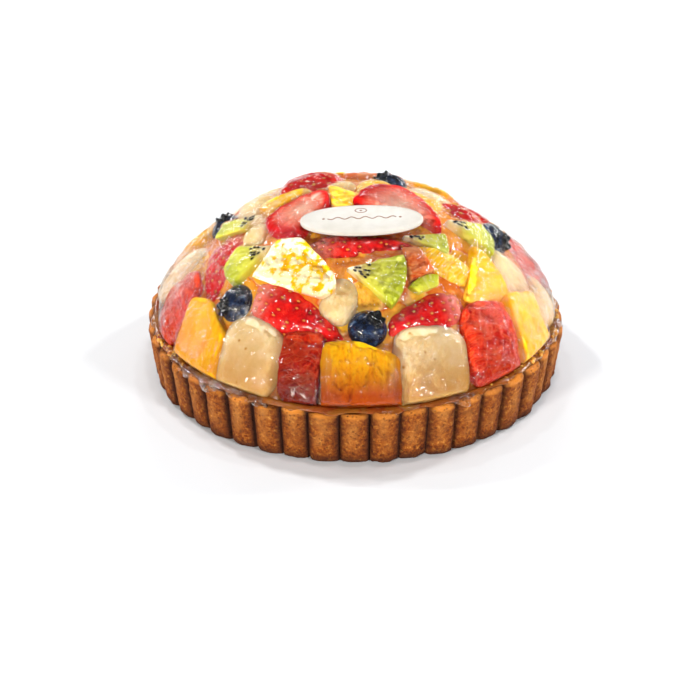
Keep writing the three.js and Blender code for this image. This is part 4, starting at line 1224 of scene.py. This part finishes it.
def domeShell(drop, foot, unevenness, seed, rings=70, columns=200):
    # A closed mound: the dome's surface moved inwards along its normal by drop, down to the case, then
    # back to the axis at the height foot
    reach = np.linspace(0, dome["reach"], rings)[1:]
    slope = domeSlope(reach)
    long = np.sqrt(1 + slope ** 2)
    wide, high = reach + drop * slope / long, domeZ(reach) - drop / long
    kept = (high > 20.1) & (wide > 0.5)
    wide = np.concatenate([wide[kept], [wide[kept][-1], 64.2, 30]])
    high = np.concatenate([high[kept], [20.0, foot, foot]])
    turn = 2 * np.pi * np.arange(columns) / columns
    points = np.stack([np.outer(wide, np.sin(turn)), -np.outer(wide, np.cos(turn)),
                       np.outer(high, np.ones(columns))], -1).reshape(-1, 3)
    top = np.array([[0, 0, domeZ(0) - drop]])
    points[:, 2] += (points[:, 2] > 22) * roughNoise(points, 9, seed) * unevenness
    return [(np.concatenate([top, points, [[0, 0, foot]]]), ringFaces(len(wide), columns), 0, {})]


makePiece("filling_mound", domeShell(7.5, 5.3, 0.0, 3), [jellyBed], ("filling",))
bed = domeShell(1.9, 19.0, 0.6, 4)
makePiece("jelly_bed", bed, [jellyBed], ())

# eye: height of the point that the map is seen from. cell: radians that a cell covers. half: cells
# from the middle to the edge. small and large: cells that closing bridges, on the front and at the
# sides. above: thickness over the fruit. lowest: degrees from the axis to the film's foot.
# streaks: degrees from the front, distance from the axis, size in mm and strength of each milky patch,
# which is painted glare
filmLook = {"eye": 12.0, "cell": 0.008, "half": 200, "small": 5, "large": 22, "above": 0.35, "rings": 190,
            "columns": 520, "lowest": 83.2,
            "streaks": ((-39, 57, 5.5, 0.5), (-46, 67, 3.5, 0.35), (22, 61, 6, 0.25), (66, 62, 7, 0.35),
                        (-68, 50, 7, 0.3), (85, 62, 12, 0.4), (-88, 58, 12, 0.75), (-20, 22, 8, 0.35),
                        (100, 24, 10, 0.3), (44, 28, 7, 0.2), (-150, 60, 12, 0.35), (150, 58, 12, 0.35))}


def slide(raster, size, pick):
    # Largest or smallest value in a square round each cell
    for axis in (0, 1):
        raster = pick.reduce([np.roll(raster, s, axis) for s in range(-size, size + 1)])
    return raster


def soften(raster, size):
    # Average with bell weights exp(-(step / size)^2)
    for axis in (0, 1):
        steps = np.arange(-2 * size, 2 * size + 1)
        weights = np.exp(-(steps / size) ** 2)
        raster = sum(w * np.roll(raster, s, axis) for w, s in zip(weights / weights.sum(), steps))
    return raster


def buildFilm():
    # Seen from a point low on the axis, the outermost fruit in each direction is drawn on a square map.
    # Closing that map bridges the gaps between pieces, narrowly on the front and widely at the sides,
    # where the jelly hangs in a skirt. The map is then read back on a grid that closes round.
    eye = np.array([0, 0, filmLook["eye"]])
    half, cell = filmLook["half"], filmLook["cell"]
    solid = np.concatenate([fruitPoints, bed[0][0]])
    solid = solid[solid[:, 2] > 20.5] - eye
    away = np.linalg.norm(solid, axis=1)
    polar = np.arccos(solid[:, 2] / away)
    flat = np.hypot(solid[:, 0], solid[:, 1]) + 1e-9
    column = np.clip(np.round(half + polar * solid[:, 0] / flat / cell).astype(int), 0, 2 * half)
    row = np.clip(np.round(half + polar * solid[:, 1] / flat / cell).astype(int), 0, 2 * half)
    raster = np.zeros((2 * half + 1, 2 * half + 1))
    np.maximum.at(raster, (row, column), away)
    near = slide(raster, 2, np.maximum)
    raster = np.where(raster > near - 4, raster, near)
    raster = soften(raster, 1)
    closed = slide(slide(raster, filmLook["small"], np.maximum), filmLook["small"], np.minimum)
    wide = slide(slide(raster, filmLook["large"], np.maximum), filmLook["large"], np.minimum)
    y, x = np.mgrid[-half:half + 1, -half:half + 1] * cell
    out = np.hypot(x, y)
    side = smoothStep(0.82, 0.99, np.abs(x) / (out + 1e-9)) * smoothStep(1.0, 1.22, out)
    skirt = side * smoothStep(1.5, 1.3, out)
    film = soften(closed, 2) * (1 - skirt) + (soften(wide, 4) + 1.2) * skirt
    film = np.maximum(film, soften(raster, 1) + filmLook["above"])
    film = soften(film, 1)
    rings, columns = filmLook["rings"], filmLook["columns"]
    polar = np.radians(filmLook["lowest"]) * np.linspace(0, 1, rings + 1)[1:]
    turn = 2 * np.pi * np.arange(columns) / columns
    ways = np.stack([np.outer(np.sin(polar), np.sin(turn)), -np.outer(np.sin(polar), np.cos(turn)),
                     np.outer(np.cos(polar), np.ones(columns))], -1).reshape(-1, 3)
    across = half + np.outer(polar, np.sin(turn)).ravel() / cell
    upward = half - np.outer(polar, np.cos(turn)).ravel() / cell

    def read(source):
        # The map between its cells: the four round a place, each weighted by how near it is
        i, j = np.floor(upward).astype(int), np.floor(across).astype(int)
        u, v = upward - i, across - j
        return (source[i, j] * (1 - u) * (1 - v) + source[i + 1, j] * u * (1 - v)
                + source[i, j + 1] * (1 - u) * v + source[i + 1, j + 1] * u * v)

    radius, beneath, hang = read(film), read(raster), read(skirt)
    points = eye + ways * radius[:, None]
    wet = roughNoise(points, 5, 77) * 0.22 + roughNoise(points, 2.2, 78) * 0.08
    points = points + ways * wet[:, None]
    points[:, 2] = np.maximum(points[:, 2], 20.5)
    # Milky where the film stands thick, whiter in the side skirts, partly painted glare
    veil = smoothStep(1.5, 7.0, radius - beneath) * 0.015 + hang ** 3 * 0.26
    veil = np.clip(veil + 0.02 * latticeNoise(points, 11, 91), 0, 1)
    # White patches of painted glare
    for azimuth, reach, size, strength in filmLook["streaks"]:
        at = math.radians(azimuth)
        spot = [reach * math.sin(at), -reach * math.cos(at), domeZ(reach)]
        veil = veil + strength * np.exp(-np.sum((points - spot) ** 2, axis=1) / size ** 2)
    lip = points[-columns:] * [0.965, 0.965, 1] - [0, 0, 0.6]
    top = np.array([[0, 0, filmLook["eye"] + film[half, half]]])
    points = np.concatenate([top, points, lip, [[0, 0, 19.4]]])
    veil = np.clip(np.concatenate([[0.1], veil, np.full(columns, 0.1), [0.1]]), 0, 1)
    return [(points, ringFaces(rings + 1, columns), 0, {"veil": veil})]


makePiece("jelly_film", buildFilm(), [jellyFilm], ())

# radius, height, width and depth of each bead, and where (degrees from the front) it swells and runs out
# The dark bead between the fruit and the rim is dark glaze and painted shade
rimBeads = {
    "syrupAndShade": {"radius": 71.4, "height": 20.6, "wide": 3.6, "high": 0.9, "thin": 1.0, "run": 1.1, "seed": 5,
              "swells": {}, "drips": (-60, -47, -31, -17, -6, 9, 22, 35, 48, 63, 80, 97, 121, 150, 176, -158,
                                      -131, -104, -82)},
    "clear": {"radius": 72.2, "height": 20.9, "wide": 3.6, "high": 1.3, "thin": 0.12, "run": 2.4, "seed": 9,
              "swells": {-43: 17, 76: 11, 30: 4, 150: 9, -130: 8},
              "drips": (-62, -52, -43, -35, -27, 31, 74, 84)},
}


def rimBead(look):
    # An ellipse carried round the rim. Its size wanders and swells by exp(-(angle / width)^2), and it
    # runs out over the edge in the same way at each drip.
    columns, section = 900, 14
    angle = np.linspace(-180, 180, columns, endpoint=False)
    ring = np.stack([np.sin(np.radians(angle)), -np.cos(np.radians(angle)), 0 * angle], -1)
    swell = sum(np.exp(-((angle - at) / width) ** 2) for at, width in look["swells"].items())
    slow, quick = latticeNoise(ring * 74, 7, look["seed"]), latticeNoise(ring * 74, 2.5, look["seed"] + 1)
    size = np.clip(look["thin"] + swell, 0, 1) * (1 + 0.30 * slow + 0.18 * quick)
    drip = sum(np.exp(-((angle - at) / (1.6 + k % 3 * 0.7)) ** 2) * (0.45 + 0.25 * (k % 3))
               for k, at in enumerate(look["drips"]))
    s = 2 * np.pi * np.arange(section) / section
    over = np.outer(drip, np.maximum(np.cos(s), 0))
    out = look["radius"] + np.outer(size, np.cos(s)) * look["wide"] / 2 + over * (1.2 + look["run"] / 3)
    high = look["height"] + np.outer(size, np.where(np.sin(s) > 0, np.sin(s), 0.6 * np.sin(s))) * look["high"]
    high = high - over * np.maximum(np.cos(s), 0) * look["run"]
    points = np.stack([out * ring[:, :1], out * ring[:, 1:2], high], -1).reshape(-1, 3)
    # Milkier where the drips run over the left front
    veil = np.repeat(np.clip(0.10 + 0.35 * drip * (angle < 0), 0, 0.4), section)
    return points, loopFaces(columns, section), veil


def bubbles(count, first, last):
    # Air caught in the jelly along the left front of the rim
    draw = np.random.default_rng(12)
    ball = polarGrid(8, 12, 2, np.ones(3))
    shells = []
    for _ in range(count):
        at, size = math.radians(draw.uniform(first, last)), draw.uniform(0.3, 0.85)
        reach = draw.uniform(72.6, 74.6)
        centre = [reach * math.sin(at), -reach * math.cos(at), 21.8 - 0.8 * (reach - 72.6)]
        shells.append((ball * size + centre, ringFaces(8, 12), 0, {"veil": np.full(len(ball), 0.06)}))
    return shells


jellyCrumbs = {"count": 130, "size": (0.35, 1.0), "reach": (70.8, 73.3), "height": 20.9,
               "heaps": ((66, 9), (84, 8), (-66, 6), (118, 7), (138, 10))}


def crumbShells():
    # Lumps of set jelly in heaps along the rim: balls dented by noise, gathered round each heap's middle
    # by a normal spread in degrees
    draw = np.random.default_rng(31)
    ball = polarGrid(6, 9, 2, np.ones(3))
    shells = []
    for k in range(jellyCrumbs["count"]):
        middle, spread = jellyCrumbs["heaps"][k % len(jellyCrumbs["heaps"])]
        at, size = math.radians(draw.normal(middle, spread)), draw.uniform(*jellyCrumbs["size"])
        reach = draw.uniform(*jellyCrumbs["reach"])
        dents = 1 + 0.25 * latticeNoise(ball * 3 + k, 1.3, k)
        lump = ball * size * draw.uniform(0.6, 1.2, 3) * dents[:, None]
        centre = [reach * math.sin(at), -reach * math.cos(at), jellyCrumbs["height"] + 0.3 * size]
        shells.append((lump + centre, ringFaces(6, 9), 0, {}))
    return shells


# A dark brown bead between the fruit and the rim: dark glaze, and painted shade
syrupAndShadePoints, syrupAndShadeFaces, _ = rimBead(rimBeads["syrupAndShade"])
makePiece("jelly_syrup_and_shade_rim", [(syrupAndShadePoints, syrupAndShadeFaces, 0, {})], [jellyBed], ())
makePiece("jelly_crumbs", crumbShells(), [jellyCrumb], ())
clearPoints, clearFaces, clearMilkAndGlare = rimBead(rimBeads["clear"])
clearParts = [(clearPoints, clearFaces, 0, {"veil": clearMilkAndGlare})] + bubbles(22, -62, -22)
makePiece("jelly_clear_rim", clearParts, [jellyFilm], ())
print("jelly made")


# Metres and radians. focal: in pixels of a picture that is pictureWidth wide.
view = {"distance": 1.0, "aim": 0.030, "rise": 0.4834, "yaw": -0.0021, "dip": 0.0222, "roll": 0.0024,
        "focal": 2771.3, "pictureWidth": 700, "sensor": 36.0}


def aimCamera():
    # Looks level with a dip below the horizon, as fitted to the tart's rim, foot and crown
    rise, down, yaw = view["rise"], view["rise"] + view["dip"], view["yaw"]
    high = view["aim"] + view["distance"] * math.sin(rise)
    centre = np.array([0, -view["distance"] * math.cos(rise), high])
    ahead = np.array([math.sin(yaw) * math.cos(down), math.cos(yaw) * math.cos(down), -math.sin(down)])
    right = np.cross(ahead, [0, 0, 1])
    right /= np.linalg.norm(right)
    above = np.cross(right, ahead)
    turned = right * math.cos(view["roll"]) + above * math.sin(view["roll"])
    above = above * math.cos(view["roll"]) - right * math.sin(view["roll"])
    matrix = np.eye(4)
    matrix[:3] = np.stack([turned, above, -ahead, centre], -1)
    camera = bpy.data.cameras.new("camera")
    camera.sensor_width = view["sensor"]
    camera.lens = view["focal"] / view["pictureWidth"] * view["sensor"]
    camera.clip_start, camera.clip_end = 0.01, 50.0
    holder = bpy.data.objects.new("camera", camera)
    bpy.context.scene.collection.objects.link(holder)
    holder.matrix_world = Matrix(matrix.tolist())
    bpy.context.scene.camera = holder


aimCamera()

# at and size in metres, power in watts, white where no colour is given
lights = {
    "key_back_left": {"at": (-0.80, 0.70, 1.15), "size": (0.14, 0.14), "power": 9.0},
    "back_right": {"at": (0.95, 0.65, 0.85), "size": (0.13, 0.19), "power": 8.5},
    "overhead": {"at": (0.10, -0.10, 1.50), "size": (0.15, 0.08), "power": 3.4},
    "behind": {"at": (0.05, 1.70, 0.95), "size": (0.40, 0.16), "power": 4.0},
    "low_back_left": {"at": (-0.90, 1.60, 0.45), "size": (0.30, 0.18), "power": 3.5},
    "low_back_right": {"at": (0.90, 1.60, 0.45), "size": (0.30, 0.18), "power": 3.5},
    "upper_left": {"at": (-0.28, 0.50, 1.40), "size": (0.09, 0.09), "power": 2.0},
    "upper_right": {"at": (0.32, 0.42, 1.38), "size": (0.09, 0.09), "power": 2.0},
    "left_low": {"at": (-1.10, 0.35, 0.42), "size": (0.12, 0.16), "power": 3.6},
    "right_low": {"at": (1.10, 0.35, 0.42), "size": (0.12, 0.16), "power": 3.6},
    "front_left": {"at": (-0.75, -1.15, 0.48), "size": (0.20, 0.20), "power": 16.5, "colour": "#FFFBF4"},
    "front_right": {"at": (0.85, -1.05, 0.45), "size": (0.17, 0.17), "power": 12.0},
}
for name, lamp in lights.items():
    light = bpy.data.lights.new(name, "AREA")
    light.shape = "RECTANGLE"
    light.size, light.size_y = lamp["size"]
    light.energy = lamp["power"]
    light.color = toLinear(lamp.get("colour", "#FFFFFF"))[:3]
    holder = bpy.data.objects.new(name, light)
    bpy.context.scene.collection.objects.link(holder)
    holder.location = lamp["at"]
    aim = np.array([0, 0, 0.03]) - lamp["at"]
    tilt = math.atan2(math.hypot(aim[0], aim[1]), -aim[2])
    holder.rotation_euler = (tilt, 0, math.atan2(aim[1], aim[0]) - math.pi / 2)

world = bpy.data.worlds.new("studio")
bpy.context.scene.world = world
world.use_nodes = True
world.node_tree.nodes["Background"].inputs[0].default_value = toLinear("#F4F6F8")
world.node_tree.nodes["Background"].inputs[1].default_value = 0.2
bpy.context.scene.view_settings.view_transform = "Standard"

floorMesh = bpy.data.meshes.new("floor")
floorMesh.from_pydata([(-3, -3, 0), (3, -3, 0), (3, 3, 0), (-3, 3, 0)], [], [(0, 1, 2, 3)])
floor = bpy.data.objects.new("floor", floorMesh)
bpy.context.scene.collection.objects.link(floor)
material, add = newMaterial("floor_pale_matte")
paper = add("BsdfPrincipled", {"Base Color": "#DADCDF", "Roughness": 0.7})
add("OutputMaterial", {"Surface": paper})
floorMesh.materials.append(material)

print("scene ready")
